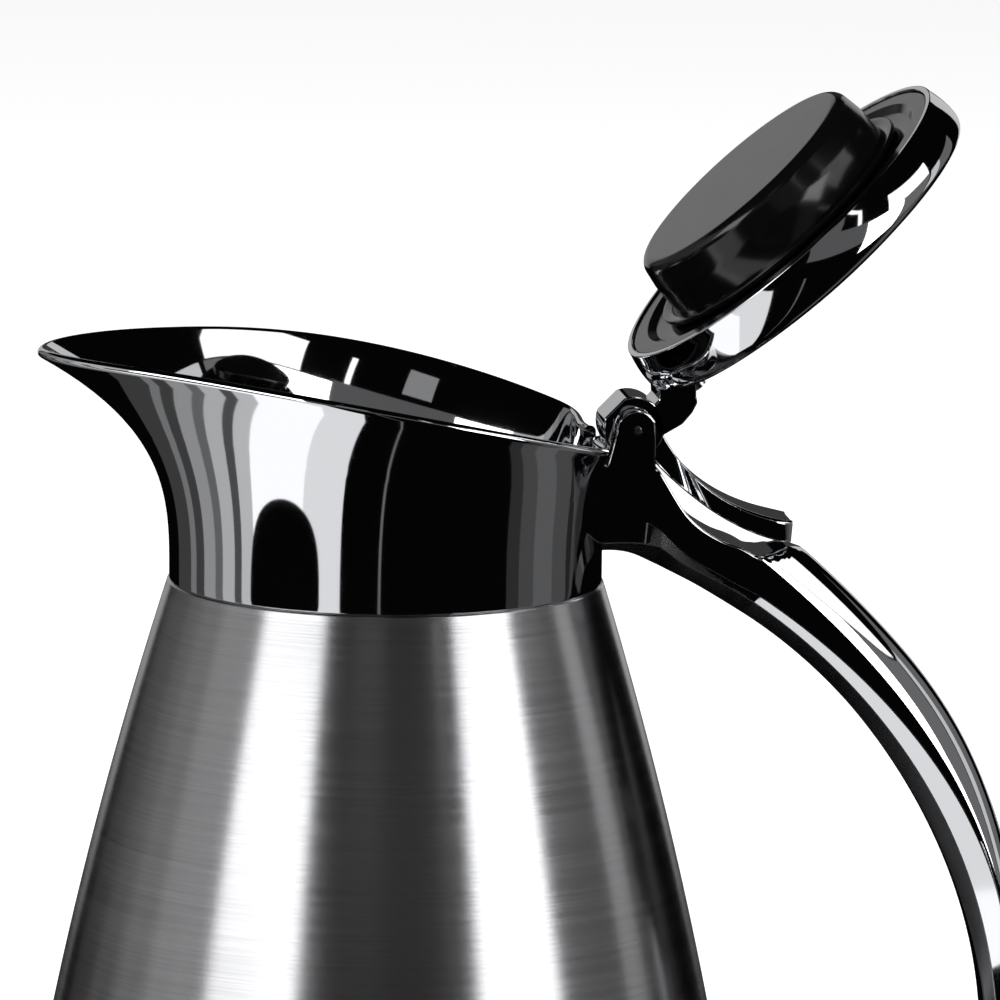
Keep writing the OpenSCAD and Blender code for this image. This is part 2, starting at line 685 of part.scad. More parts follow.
module lid_screw_holes(gap)
    lid_screw_axes() cylinder(h = lid_side_h + 4.6, r = small_r + gap, $fn = 32);

module lid_screws() color(steel_grey)
    opened() lid_screw_axes() translate([0, 0, lid_side_h - lid_wall - 0.1])
        screw(small_r, 5.4);

// ---------------------------------------------------------------- the part

outer_shell();
inner_liner();
outer_bottom();
getter_cap();
base_cover();
base_pad();
spout_collar();
neck_ring();
neck_gasket();
handle();
collar_screws();
lower_bracket();
lower_screw();
hinge_pin();
hinge_bushes();
thumb_lever();
lid_dome();
lid_dish();
lid_plug();
plug_foam();
lid_seal();
lid_screws();
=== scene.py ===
"""The looks of the vacuum coffee pot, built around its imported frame.

Lengths in the pieces are written in millimetres and turned to metres by MM.
"""

import math

import bpy
from mathutils import Matrix, Vector


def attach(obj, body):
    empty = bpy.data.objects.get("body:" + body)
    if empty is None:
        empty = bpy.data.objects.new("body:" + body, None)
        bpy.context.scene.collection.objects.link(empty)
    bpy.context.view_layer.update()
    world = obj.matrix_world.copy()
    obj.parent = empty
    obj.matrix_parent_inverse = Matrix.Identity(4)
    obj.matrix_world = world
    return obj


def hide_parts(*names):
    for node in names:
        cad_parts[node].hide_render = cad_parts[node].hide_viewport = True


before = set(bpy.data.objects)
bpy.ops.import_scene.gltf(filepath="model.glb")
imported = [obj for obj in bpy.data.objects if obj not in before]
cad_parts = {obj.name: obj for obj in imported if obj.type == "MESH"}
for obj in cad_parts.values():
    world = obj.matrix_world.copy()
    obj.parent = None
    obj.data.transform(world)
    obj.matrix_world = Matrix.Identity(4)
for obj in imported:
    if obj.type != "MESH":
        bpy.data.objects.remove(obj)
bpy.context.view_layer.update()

MM = 0.001

# ---------------------------------------------------------------- sizes, mm

BODY_H = 158.0
FOOT_R = 77.0
SHOULDER_R = 43.4
BULGE = 3.9
COLLAR_R = 43.1
WALL = 2.0
RIM_BACK, RIM_MID, RIM_TIP = 28.0, 39.0, 45.2
SPOUT = 69.3
RIM_SIDE = 49.7
FLARE = 3.05
SPOUT_ANGLE = 28.0
SPOUT_POWER = 1.7
BACK_ANGLE = 13.0
BACK_TURN = 26.0
FLANGE = 2.4
NECK_OUT = 33.0
MOUTH_R = 28.8
MOUTH_Z = 170.2
SEAT_H = 15.4
SEAT_R = 28.6
LIP_H, LIP_T = 4.2, 2.4
PIN_X, PIN_Z = 48.8, 188.9
OPEN = 138.0
KNUCKLE_W, KNUCKLE_R = 6.0, 6.2
EAR_IN, EAR_OUT = 6.6, 10.0
EAR_R = 3.9
SLOT_H = 22.6
NOTCH_H = 19.1
LID_R = 40.6
LID_SEAT = 20.3
LID_SIDE = 9.8
LID_WALL = 1.2
PLUG_R = 27.0
SHEET = 0.8
FLASK_WALL = 0.8
EAR_BORE, KNUCKLE_BORE, PIN_R = 1.75, 1.74, 1.69
SCREW_H = 9.5


def mix(a, b, t):
    return a + (b - a) * t


def smooth(t):
    t = max(0.0, min(1.0, t))
    return t * t * (3 - 2 * t)


def unit(v):
    n = math.hypot(*v)
    return tuple(c / n for c in v)


# ---------------------------------------------------------------- materials


def tone(hexcode, alpha=1.0):
    """An sRGB hex colour as the linear colour that a socket takes."""
    out = []
    for i in (0, 2, 4):
        c = int(hexcode.lstrip("#")[i : i + 2], 16) / 255
        out.append(c / 12.92 if c <= 0.04045 else ((c + 0.055) / 1.055) ** 2.4)
    return (*out, alpha)


def add(tree, kind, links=None, **settings):
    """Adds a node. Settings that name an attribute set it, and the others set an
    input's value, by its name or as i0, i1 and so on by its place. links maps an
    input to the output that feeds it."""
    node = tree.nodes.new(kind)
    for key, value in settings.items():
        if hasattr(node, key):
            setattr(node, key, value)
    for key, value in settings.items():
        if hasattr(node, key):
            continue
        numbered = key[0] == "i" and key[1:].isdigit()
        socket = node.inputs[int(key[1:]) if numbered else key.replace("_", " ")]
        socket.default_value = value
    for key, source in (links or {}).items():
        tree.links.new(source, node.inputs[key])
    return node


def finish_named(name, build, **base):
    """A material whose Principled node has the constants in base."""
    mat = bpy.data.materials.new(name)
    mat.use_nodes = True
    tree = mat.node_tree
    tree.nodes.clear()
    out = add(tree, "ShaderNodeOutputMaterial")
    skin = add(tree, "ShaderNodeBsdfPrincipled")
    for key, value in base.items():
        skin.inputs[key.replace("_", " ")].default_value = value
    tree.links.new(skin.outputs[0], out.inputs[0])
    where = add(tree, "ShaderNodeTexCoord").outputs["Object"]
    build(tree, skin, where)
    return mat


def plated(tree, skin, where):
    """Bright chrome plate: nearly even, with the faint wave of a hand-polished
    casting and a trace of wiping haze."""
    haze = add(tree, "ShaderNodeTexNoise", {"Vector": where}, Scale=38.0, Detail=3.0)
    rough = add(
        tree, "ShaderNodeMapRange", {"Value": haze.outputs[0]}, i1=0.35, i2=0.75, i3=0.03, i4=0.06
    )
    tree.links.new(rough.outputs[0], skin.inputs["Roughness"])
    wave = add(tree, "ShaderNodeTexNoise", {"Vector": where}, Scale=55.0, Detail=1.0)
    bump = add(tree, "ShaderNodeBump", {"Height": wave.outputs[0]}, Strength=0.03, Distance=0.0004)
    tree.links.new(bump.outputs[0], skin.inputs["Normal"])


def brushed(tree, skin, where):
    """Stainless steel brushed round the body with a fine belt: scratches 0.3 mm
    apart and some 30 mm long, so a lamp is drawn out up and down the side."""
    fine = add(tree, "ShaderNodeMapping", {"Vector": where}, Scale=(30.0, 30.0, 3200.0))
    lines = add(tree, "ShaderNodeTexNoise", {"Vector": fine.outputs[0]}, Scale=1.0, Detail=3.0)
    broad = add(tree, "ShaderNodeMapping", {"Vector": where}, Scale=(8.0, 8.0, 700.0))
    bands = add(tree, "ShaderNodeTexNoise", {"Vector": broad.outputs[0]}, Scale=1.0, Detail=4.0)
    both = add(tree, "ShaderNodeMath", {0: lines.outputs[0], 1: bands.outputs[0]}, operation="ADD")
    mean = add(tree, "ShaderNodeMath", {0: both.outputs[0]}, i1=0.5, operation="MULTIPLY")
    colour = add(tree, "ShaderNodeValToRGB", {"Fac": mean.outputs[0]})
    ramp = colour.color_ramp
    ramp.elements[0].position, ramp.elements[0].color = 0.3, tone("#AAAAAC")
    ramp.elements[1].position, ramp.elements[1].color = 0.7, tone("#C0C0C2")
    tree.links.new(colour.outputs[0], skin.inputs["Base Color"])
    rough = add(
        tree, "ShaderNodeMapRange", {"Value": bands.outputs[0]}, i1=0.3, i2=0.7, i3=0.23, i4=0.27
    )
    tree.links.new(rough.outputs[0], skin.inputs["Roughness"])
    bump = add(tree, "ShaderNodeBump", {"Height": lines.outputs[0]}, Strength=0.05, Distance=0.0001)
    tree.links.new(bump.outputs[0], skin.inputs["Normal"])
    around = add(tree, "ShaderNodeTangent", direction_type="RADIAL", axis="Z")
    tree.links.new(around.outputs[0], skin.inputs["Tangent"])


def drawn_steel(tree, skin, where):
    """Deep-drawn stainless steel inside the flask: satin, with faint rings."""
    rings = add(tree, "ShaderNodeMapping", {"Vector": where}, Scale=(12.0, 12.0, 700.0))
    noise = add(tree, "ShaderNodeTexNoise", {"Vector": rings.outputs[0]}, Scale=1.0, Detail=2.0)
    rough = add(
        tree, "ShaderNodeMapRange", {"Value": noise.outputs[0]}, i1=0.3, i2=0.7, i3=0.2, i4=0.34
    )
    tree.links.new(rough.outputs[0], skin.inputs["Roughness"])
    bump = add(tree, "ShaderNodeBump", {"Height": noise.outputs[0]}, Strength=0.1, Distance=0.0001)
    tree.links.new(bump.outputs[0], skin.inputs["Normal"])


def polished_abs(tree, skin, where):
    """Black ABS from a polished mould: glossy with a very slight orange peel."""
    peel = add(tree, "ShaderNodeTexNoise", {"Vector": where}, Scale=160.0, Detail=2.0)
    rough = add(
        tree, "ShaderNodeMapRange", {"Value": peel.outputs[0]}, i1=0.3, i2=0.7, i3=0.13, i4=0.17
    )
    tree.links.new(rough.outputs[0], skin.inputs["Roughness"])
    bump = add(tree, "ShaderNodeBump", {"Height": peel.outputs[0]}, Strength=0.03, Distance=0.0002)
    tree.links.new(bump.outputs[0], skin.inputs["Normal"])


def textured_pp(tree, skin, where):
    """Polypropylene from a spark-eroded mould: matt, with grains of 0.5 mm."""
    grain = add(tree, "ShaderNodeTexNoise", {"Vector": where}, Scale=2000.0, Detail=2.0)
    bump = add(tree, "ShaderNodeBump", {"Height": grain.outputs[0]}, Strength=0.25, Distance=0.0001)
    tree.links.new(bump.outputs[0], skin.inputs["Normal"])
    rough = add(
        tree, "ShaderNodeMapRange", {"Value": grain.outputs[0]}, i1=0.3, i2=0.7, i3=0.45, i4=0.6
    )
    tree.links.new(rough.outputs[0], skin.inputs["Roughness"])


# Collar, handle, lever and lid: zinc castings, polished and chrome plated, like a
# dark mirror with sharp edges between what is bright and what is black.
CHROME = finish_named("chrome_plated_zinc", plated, Metallic=1.0, Base_Color=tone("#E4E5E8"))
# The body: stainless sheet, belt-brushed round its axis. A lamp shows as an upright
# band with crisp sides, because the scratches spread light only up and down.
BRUSHED = finish_named(
    "brushed_stainless_steel", brushed, Metallic=1.0, Anisotropic=0.8, Anisotropic_Rotation=0.25
)
# The flask and the outer bottom: deep-drawn stainless steel, satin and left as drawn.
DRAWN = finish_named("drawn_stainless_steel", drawn_steel, Metallic=1.0, Base_Color=tone("#BEBEC0"))
# Screws and the pin's ends: zinc-plated steel, a little darker and duller.
SCREW_STEEL = finish_named("zinc_plated_screw_steel", drawn_steel, Metallic=1.0, Base_Color=tone("#B2B3B6"))
# Plug, dish and seal: black ABS from a polished mould, deep black with soft glints.
ABS = finish_named("polished_black_abs", polished_abs, Base_Color=tone("#0B0B0C"), IOR=1.5)
# Neck ring and base cover: matt black polypropylene that takes hot coffee.
PP = finish_named("black_polypropylene", textured_pp, Base_Color=tone("#141415"), IOR=1.49)
# Hinge bushes: acetal, a waxy, slightly greyer black.
ACETAL = finish_named("black_acetal", textured_pp, Base_Color=tone("#1C1C1E"), IOR=1.48)
# Pad and gasket: moulded silicone, matt and a little darker than the plastics.
SILICONE = finish_named("dark_silicone_rubber", textured_pp, Base_Color=tone("#101011"), IOR=1.41)
# Inside the plug: poured polyurethane foam, pale and matt.
FOAM = finish_named("polyurethane_foam", textured_pp, Base_Color=tone("#E0D6BC"), IOR=1.45)

# ---------------------------------------------------------------- mesh helpers


def piece(name, points, faces, mat, body, replaced=(), bevel=0.0):
    """A named mesh from points in mm, with softened edges, on its body."""
    mesh = bpy.data.meshes.new(name)
    mesh.from_pydata([(x * MM, y * MM, z * MM) for x, y, z in points], [], faces)
    mesh.validate()
    mesh.materials.append(mat)
    obj = bpy.data.objects.new(name, mesh)
    bpy.context.scene.collection.objects.link(obj)
    for poly in mesh.polygons:
        poly.use_smooth = True
    if bevel:
        edge = obj.modifiers.new("soft_edges", "BEVEL")
        edge.width, edge.segments = bevel * MM, 3
        edge.limit_method, edge.angle_limit = "ANGLE", math.radians(28)
        edge.harden_normals = False
        edge.miter_outer = "MITER_ARC"
    weigh = obj.modifiers.new("flat_faces_stay_flat", "WEIGHTED_NORMAL")
    weigh.keep_sharp = True
    weigh.weight = 50
    ride(obj, body, replaced)
    return obj


def ride(obj, body, replaced=()):
    """Puts an object on its body, in place of the CAD nodes named."""
    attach(obj, body)
    if replaced:
        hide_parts(*replaced)


def rounded(corners, steps=5):
    """A closed 2D outline with a fillet at each corner: corners are (x, y) or
    (x, y, radius). Every fillet has the same number of points."""
    out = []
    n = len(corners)
    for i, c in enumerate(corners):
        x, y = c[0], c[1]
        r = c[2] if len(c) > 2 else 0.0
        if r <= 0:
            out.append((x, y))
            continue
        p, q = corners[i - 1], corners[(i + 1) % n]
        u = unit((p[0] - x, p[1] - y))
        v = unit((q[0] - x, q[1] - y))
        cosang = max(-0.9999, min(0.9999, u[0] * v[0] + u[1] * v[1]))
        half = math.acos(cosang) / 2
        d = min(
            r / math.tan(half),
            0.49 * math.hypot(p[0] - x, p[1] - y),
            0.49 * math.hypot(q[0] - x, q[1] - y),
        )
        a = (x + u[0] * d, y + u[1] * d)
        b = (x + v[0] * d, y + v[1] * d)
        # the arc as a rational quadratic, exact for a circle
        w = math.sin(half)
        for k in range(steps + 1):
            t = k / steps
            b0, b1, b2 = (1 - t) ** 2, 2 * t * (1 - t) * w, t * t
            s = b0 + b1 + b2
            out.append(((a[0] * b0 + x * b1 + b[0] * b2) / s, (a[1] * b0 + y * b1 + b[1] * b2) / s))
    return out


def ring_faces(rings, n):
    """Quads between rings of n points each, and a cap at each end."""
    faces = []
    for i in range(rings - 1):
        for j in range(n):
            a, b = i * n + j, i * n + (j + 1) % n
            faces.append((a, b, b + n, a + n))
    faces.append(tuple(reversed(range(n))))
    faces.append(tuple((rings - 1) * n + j for j in range(n)))
    return faces


def turned(name, corners, mat, body, replaced=(), turns=192, steps=5, move=None):
    """A turned piece: its closed outline as (radius, height, fillet) corners,
    run anticlockwise round the wall's section, so that faces point outwards."""
    outline = rounded(corners, steps)
    points, faces = [], []
    poles = {}
    index = []
    for k in range(turns):
        a = 2 * math.pi * k / turns
        row = []
        for j, (r, z) in enumerate(outline):
            if abs(r) < 1e-6:
                if j not in poles:
                    poles[j] = len(points)
                    points.append((0.0, 0.0, z))
                row.append(poles[j])
            else:
                row.append(len(points))
                points.append((r * math.cos(a), r * math.sin(a), z))
        index.append(row)
    n = len(outline)
    for k in range(turns):
        here, there = index[k], index[(k + 1) % turns]
        for j in range(n):
            m = (j + 1) % n
            quad = [here[j], there[j], there[m], here[m]]
            quad = [v for i, v in enumerate(quad) if v != quad[i - 1]]
            if len(set(quad)) >= 3:
                faces.append(tuple(quad))
    if move:
        points = [move(p) for p in points]
    return piece(name, points, faces, mat, body, replaced)


def opened(p):
    """A point of the closed lid, moved to the open lid."""
    t = math.radians(OPEN)
    x, z = p[0] - PIN_X, p[2] - PIN_Z
    return (PIN_X + x * math.cos(t) + z * math.sin(t), p[1], PIN_Z - x * math.sin(t) + z * math.cos(t))


def slab(name, outline, y0, y1, mat, body, replaced=(), bevel=0.4, move=None, hole=None):
    """A plate cut to an outline in the XZ plane, from y0 to y1; hole is the
    (x, z, radius) of a bore through it."""
    n = len(outline)
    points = [(x, y0, z) for x, z in outline] + [(x, y1, z) for x, z in outline]
    area = sum(outline[i - 1][0] * outline[i][1] - outline[i][0] * outline[i - 1][1] for i in range(n))
    order = list(range(n)) if area > 0 else list(range(n - 1, -1, -1))
    faces = [tuple(order), tuple(i + n for i in reversed(order))]
    for k in range(n):
        a, b = order[k], order[(k + 1) % n]
        faces.append((b, a, a + n, b + n))
    if move:
        points = [move(p) for p in points]
    obj = piece(name, points, faces, mat, body, replaced, bevel=bevel)
    if hole:
        drill(obj, hole, y0, y1)
    return obj


def drill(obj, hole, y0, y1):
    """Bores a round hole along Y, ahead of the soft edges."""
    x, z, r = hole
    n = 48
    turns = [2 * math.pi * k / n for k in range(n)]
    points = [(x + r * math.cos(b), y, z + r * math.sin(b)) for y in (y0 - 3, y1 + 3) for b in turns]
    mesh = bpy.data.meshes.new("drill")
    mesh.from_pydata([(a * MM, b * MM, c * MM) for a, b, c in points], [], ring_faces(2, n))
    tool = bpy.data.objects.new("drill", mesh)
    bpy.context.scene.collection.objects.link(tool)
    cut = obj.modifiers.new("bore", "BOOLEAN")
    cut.object, cut.operation, cut.solver = tool, "DIFFERENCE", "EXACT"
    obj.modifiers.move(obj.modifiers.find(cut.name), 0)
    bake(obj, only="bore")
    bpy.data.objects.remove(tool)


def bake(obj, only):
    """Applies one modifier, which is first in the stack, to the mesh."""
    rest = [m for m in obj.modifiers if m.name != only]
    shown = [m.show_viewport for m in rest]
    for m in rest:
        m.show_viewport = False
    dg = bpy.context.evaluated_depsgraph_get()
    dg.update()
    mesh = bpy.data.meshes.new_from_object(obj.evaluated_get(dg))
    obj.modifiers.remove(obj.modifiers[only])
    obj.data = mesh
    for poly in mesh.polygons:
        poly.use_smooth = True
    for m, was in zip(rest, shown):
        m.show_viewport = was


# ---------------------------------------------------------------- outer shell


def side_r(z):
    """Radius of the body's outside at the height z."""
    t = z / BODY_H
    return mix(FOOT_R, SHOULDER_R, t) + BULGE * 4 * t * (1 - t)


def shell_tree():
    """Geometry Nodes: a sheet rolled round the axis to the body's taper. The
    sheet's rows run up the side, over the shoulder's round and in to the neck."""
    tree = bpy.data.node_groups.new("rolled_shell", "GeometryNodeTree")
    face = tree.interface
    face.new_socket("Geometry", in_out="INPUT", socket_type="NodeSocketGeometry")
    for name, value in (
        ("Foot Radius", FOOT_R * MM),
        ("Shoulder Radius", SHOULDER_R * MM),
        ("Bulge", BULGE * MM),
        ("Seam Height", BODY_H * MM),
        ("Shoulder Round", 0.6 * MM),
    ):
        face.new_socket(name, in_out="INPUT", socket_type="NodeSocketFloat").default_value = value
    for name, value in (("Turns", 256), ("Rows", 120)):
        face.new_socket(name, in_out="INPUT", socket_type="NodeSocketInt").default_value = value
    face.new_socket("Finish", in_out="INPUT", socket_type="NodeSocketMaterial")
    face.new_socket("Geometry", in_out="OUTPUT", socket_type="NodeSocketGeometry")
    given = add(tree, "NodeGroupInput").outputs
    result = add(tree, "NodeGroupOutput")

    def calc(op, a, b=None, c=None):
        node = add(tree, "ShaderNodeMath", operation=op)
        for i, v in enumerate((a, b, c)):
            if v is None:
                continue
            if isinstance(v, (int, float)):
                node.inputs[i].default_value = v
            else:
                tree.links.new(v, node.inputs[i])
        return node.outputs[0]

    grid = add(
        tree,
        "GeometryNodeMeshGrid",
        {"Vertices X": calc("ADD", given["Turns"], 1), "Vertices Y": given["Rows"]},
        Size_X=1.0,
        Size_Y=1.0,
    )
    place = add(tree, "ShaderNodeSeparateXYZ", {0: add(tree, "GeometryNodeInputPosition").outputs[0]})
    around = calc("MULTIPLY", calc("ADD", place.outputs[0], 0.5), 2 * math.pi)
    row = calc("ADD", place.outputs[1], 0.5)
    # rows 0 to 0.9 climb the side, 0.9 to 0.97 round the shoulder, the rest go in
    climb = add(tree, "ShaderNodeMapRange", {"Value": row}, i1=0.0, i2=0.9, i3=0.0, i4=1.0).outputs[0]
    bend = add(tree, "ShaderNodeMapRange", {"Value": row}, i1=0.9, i2=0.97, i3=0.0, i4=math.pi / 2).outputs[0]
    inward = add(tree, "ShaderNodeMapRange", {"Value": row}, i1=0.97, i2=1.0, i3=0.0, i4=1.0).outputs[0]
    top = calc("SUBTRACT", given["Seam Height"], given["Shoulder Round"])
    low = 3.0 * MM
    z_side = calc("ADD", calc("MULTIPLY", climb, calc("SUBTRACT", top, low)), low)
    t = calc("DIVIDE", z_side, given["Seam Height"])
    narrower = calc("SUBTRACT", given["Shoulder Radius"], given["Foot Radius"])
    taper = calc("ADD", given["Foot Radius"], calc("MULTIPLY", t, narrower))
    hump = calc("MULTIPLY", t, calc("SUBTRACT", 1, t))
    swell = calc("MULTIPLY", calc("MULTIPLY", given["Bulge"], 4), hump)
    fall = calc("MULTIPLY", given["Shoulder Round"], calc("SUBTRACT", 1, calc("COSINE", bend)))
    go_in = calc("MULTIPLY", inward, (SHOULDER_R - NECK_OUT - SHEET) * MM)
    radius = calc("SUBTRACT", calc("SUBTRACT", calc("ADD", taper, swell), fall), go_in)
    height = calc("ADD", z_side, calc("MULTIPLY", given["Shoulder Round"], calc("SINE", bend)))
    spot = add(
        tree,
        "ShaderNodeCombineXYZ",
        {
            0: calc("MULTIPLY", radius, calc("COSINE", around)),
            1: calc("MULTIPLY", radius, calc("SINE", around)),
            2: height,
        },
    )
    rolled = add(tree, "GeometryNodeSetPosition", {"Geometry": grid.outputs[0], "Position": spot.outputs[0]})
    joined = add(tree, "GeometryNodeMergeByDistance", {"Geometry": rolled.outputs[0]}, Distance=0.001 * MM)
    soft = add(tree, "GeometryNodeSetShadeSmooth", {"Geometry": joined.outputs[0]})
    real = add(tree, "GeometryNodeRealizeInstances", {"Geometry": soft.outputs[0]})
    done = add(tree, "GeometryNodeSetMaterial", {"Geometry": real.outputs[0], "Material": given["Finish"]})
    tree.links.new(done.outputs[0], result.inputs[0])
    return tree


def from_nodes(name, tree, values):
    """Runs a tree on an empty mesh and keeps the result as a plain mesh."""
    start = bpy.data.meshes.new(name + "_start")
    obj = bpy.data.objects.new(name, start)
    bpy.context.scene.collection.objects.link(obj)
    mod = obj.modifiers.new("made_by_nodes", "NODES")
    mod.node_group = tree
    for item in tree.interface.items_tree:
        if item.in_out == "INPUT" and item.name in values:
            mod[item.identifier] = values[item.name]
    dg = bpy.context.evaluated_depsgraph_get()
    mesh = bpy.data.meshes.new_from_object(obj.evaluated_get(dg))
    obj.modifiers.remove(mod)
    mesh.name = name
    obj.data = mesh
    bpy.data.meshes.remove(start)
    return obj


def make_shell():
    """The body: one sheet of steel with its wall."""
    obj = from_nodes("body_shell", shell_tree(), {"Finish": BRUSHED})
    wall = obj.modifiers.new("sheet", "SOLIDIFY")
    wall.thickness, wall.offset = SHEET * MM, -1
    ride(obj, "pot", ["outer_shell"])


# ---------------------------------------------------------------- collar


def rim_h(x):
    """Height of the rim over the seam at x: a parabola through back, middle and tip."""
    back, tip = COLLAR_R, -SPOUT
    s_back, s_tip = (RIM_BACK - RIM_MID) / back, (RIM_TIP - RIM_MID) / tip
    bend = (s_back - s_tip) / (back - tip)
    return RIM_MID + (s_back - bend * back) * x + bend * x * x


def rim_r(a):
    """Radius of the rim at the angle a, in degrees: the spout is at 180."""
    off = abs(180 - a)
    wide = mix(COLLAR_R, RIM_SIDE, smooth((180 - off - BACK_ANGLE) / BACK_TURN))
    return mix(wide, SPOUT, math.exp(-((off / SPOUT_ANGLE) ** SPOUT_POWER)))


def collar_out(a, t):
    """The outside at the angle a and the share t of the height, as (radius, height)."""
    r = rim_r(a)
    h = rim_h(r * math.cos(math.radians(a)))
    return (mix(COLLAR_R, r, t**FLARE), h * t)


def collar_dir(a, t):
    """The direction in which the outside climbs there."""
    p, q = collar_out(a, min(1, t + 0.01)), collar_out(a, max(0, min(0.99, t - 0.01)))
    return unit((p[0] - q[0], p[1] - q[1]))


def collar_in(a, t, w=WALL):
    """The point that lies w inside the outside."""
    d, p = collar_dir(a, t), collar_out(a, t)
    return (p[0] - w * d[1], p[1] + w * d[0])


def make_collar():
    """The cast collar: its wall's section is carried round the axis, and the
    slot for the lever's knuckle is left open between two of the sections."""
    slot_half = math.degrees(math.asin(EAR_IN / COLLAR_R))
    open_steps, turns = 6, 270
    span = 360 - 2 * slot_half
    angles = [slot_half + span * i / turns for i in range(turns + 1)]
    angles += [360 - slot_half + 2 * slot_half * i / open_steps for i in range(1, open_steps)]
    t_slot = NOTCH_H / rim_h(COLLAR_R)
    low = [i / 26 for i in range(27) if abs(i / 26 - t_slot) > 0.02]
    rows = sorted(low + [t_slot])
    lip = 10
    foot = [(COLLAR_R - WALL, FLANGE), (NECK_OUT + 1, FLANGE), (NECK_OUT + 1, 0.0), (COLLAR_R - 1.0, 0.0)]
    rings = []
    for a in angles:
        d = collar_dir(a, 1)
        c = collar_in(a, 1, WALL / 2)
        out = [collar_out(a, t) for t in rows]
        edge = []
        for i in range(1, lip):
            b = math.pi * i / lip
            u = WALL / 2 * math.cos(b)
            v = WALL / 2 * math.sin(b)
            edge.append((c[0] + u * d[1] + v * d[0], c[1] - u * d[0] + v * d[1]))
        start = FLANGE / collar_out(a, 1)[1]
        inner = [collar_in(a, t) for t in reversed(rows) if t > start * 1.3]
        rings.append((out, edge, inner))
    n_out, n_in = len(rings[0][0]), min(len(r[2]) for r in rings)
    points, faces, table = [], [], []
    for a, (out, edge, inner) in zip(angles, rings):
        section = out + edge + inner[:n_in] + foot
        ca, sa = math.cos(math.radians(a)), math.sin(math.radians(a))
        table.append(range(len(points), len(points) + len(section)))
        points += [(r * ca, r * sa, BODY_H + h) for r, h in section]
    n = len(table[0])
    k_out = rows.index(t_slot)
    k_in = n_out + len(rings[0][1]) + (len(rows) - 1 - k_out)
    total = len(angles)
    for i in range(total):
        m = (i + 1) % total
        in_slot = i >= turns
        for j in range(n):
            q = (j + 1) % n
            if in_slot and k_out <= j < k_in:
                continue
            faces.append((table[i][j], table[m][j], table[m][q], table[i][q]))
        if in_slot:
            faces.append((table[i][k_out], table[m][k_out], table[m][k_in], table[i][k_in]))
    first, last = table[turns], table[0]
    faces.append(tuple(first[j] for j in range(k_out, k_in + 1)))
    faces.append(tuple(last[j] for j in range(k_in, k_out - 1, -1)))
    piece("collar_casting", points, faces, CHROME, "pot", ["spout_collar"], bevel=0.3)


# ---------------------------------------------------------------- handle

FOOT_Z = 23.5
FOOT_H = FOOT_Z - BODY_H
FOOT_X = side_r(FOOT_Z) - 6
PIN_H = PIN_Z - BODY_H
RECESS_A = (PIN_X + 4.9, SLOT_H)
RECESS_B = (PIN_X + 28.7, PIN_H - 29.2)
BELLY = (127.6, -98.0)
DEPTH = 5.2


def off(p, x, z):
    """The point that lies x across and z up from p."""
    return (p[0] + x, p[1] + z)


# The crease and the inside line of the grip, as chains of Bezier curves
ROOT = (COLLAR_R - 3, SCREW_H - 3.7)
NOSE = (PIN_X + 5.5, SCREW_H - 6.9)
BEND = off(RECESS_B, -6.3, -8.6)
PALM = off(BELLY, -DEPTH, 0)
FOOT = (FOOT_X, FOOT_H)
CREASE = [
    [(COLLAR_R - 3, SLOT_H), (PIN_X - 2, SLOT_H), (PIN_X + 3, SLOT_H + 0.4), RECESS_A],
    [RECESS_A, off(RECESS_A, 9.3, -15.6), off(RECESS_B, -12.8, 11), RECESS_B],
    [RECESS_B, off(RECESS_B, 37.8, -32.5), off(BELLY, 0, 39.7), BELLY],
    [BELLY, off(BELLY, 0, -28), off(FOOT, 37, -4.5), off(FOOT, 0, -4.5)],
]
INNER = [
    [ROOT, off(ROOT, 8, 1), (PIN_X + 1, SCREW_H - 4.8), NOSE],
    [NOSE, (PIN_X + 11, SCREW_H - 9.4), off(RECESS_B, -17.3, -1.6), BEND],
    [BEND, off(RECESS_B, 22.6, -26.9), off(BELLY, -DEPTH, 36), PALM],
    [PALM, off(BELLY, -DEPTH, -22), off(FOOT, 32, 4.5), off(FOOT, 0, 4.5)],
]
LAST = 3.9999
LEVER_END = 1.85
BACK_STARTS = 2.04


def bezier(p, t):
    """A point of the Bezier curve with the four points p."""
    u = 1 - t
    w = (u * u * u, 3 * u * u * t, 3 * u * t * t, t * t * t)
    return tuple(sum(w[k] * p[k][i] for k in range(4)) for i in range(2))


def chain(curves, t):
    """A point of a chain of curves: t counts the curves."""
    i = min(len(curves) - 1, int(t))
    return bezier(curves[i], t - i)


def back_h(t):
    """Height of the rounded back above the crease."""
    return mix(7.0, 4.6, smooth((t - 2.2) / 0.55))


def floor_h(t):
    """The floor that cuts the back off: flat at the hinge, dished under the
    lever, then sweeping up and out behind the lever's tip."""
    if t < 1:
        return 0.0
    if t < LEVER_END:
        return -0.8 * smooth((t - 1) * 4) * (1 - smooth((t - 1.6) * 4))
    return 7.2 * ((t - LEVER_END) / 0.17) ** 1.9


def side_share(t):
    """Share of the depth that the upright facet takes, below the crease."""
    return mix(0.44, 0.6, t) if t < 1 else mix(0.6, 0.03, smooth((t - 1.75) / 1.05))


def slope_share(t):
    """Share of the depth at which the sloped facet ends."""
    return mix(0.9, 0.77, smooth(t / 1.2)) if t < 1.2 else mix(0.77, 0.64, smooth((t - 1.2) / 1.5))


def grip_half(t):
    """Half width at the crease."""
    return mix(EAR_OUT - 0.05, 8.6, smooth(t / 3.5))


def inner_point(t):
    """The inside point that lies square across from the crease at t."""
    shift = 0.045 * math.sin(math.pi * (t - 2)) if 2 < t < 3 else 0
    return chain(INNER, min(LAST, t + shift))


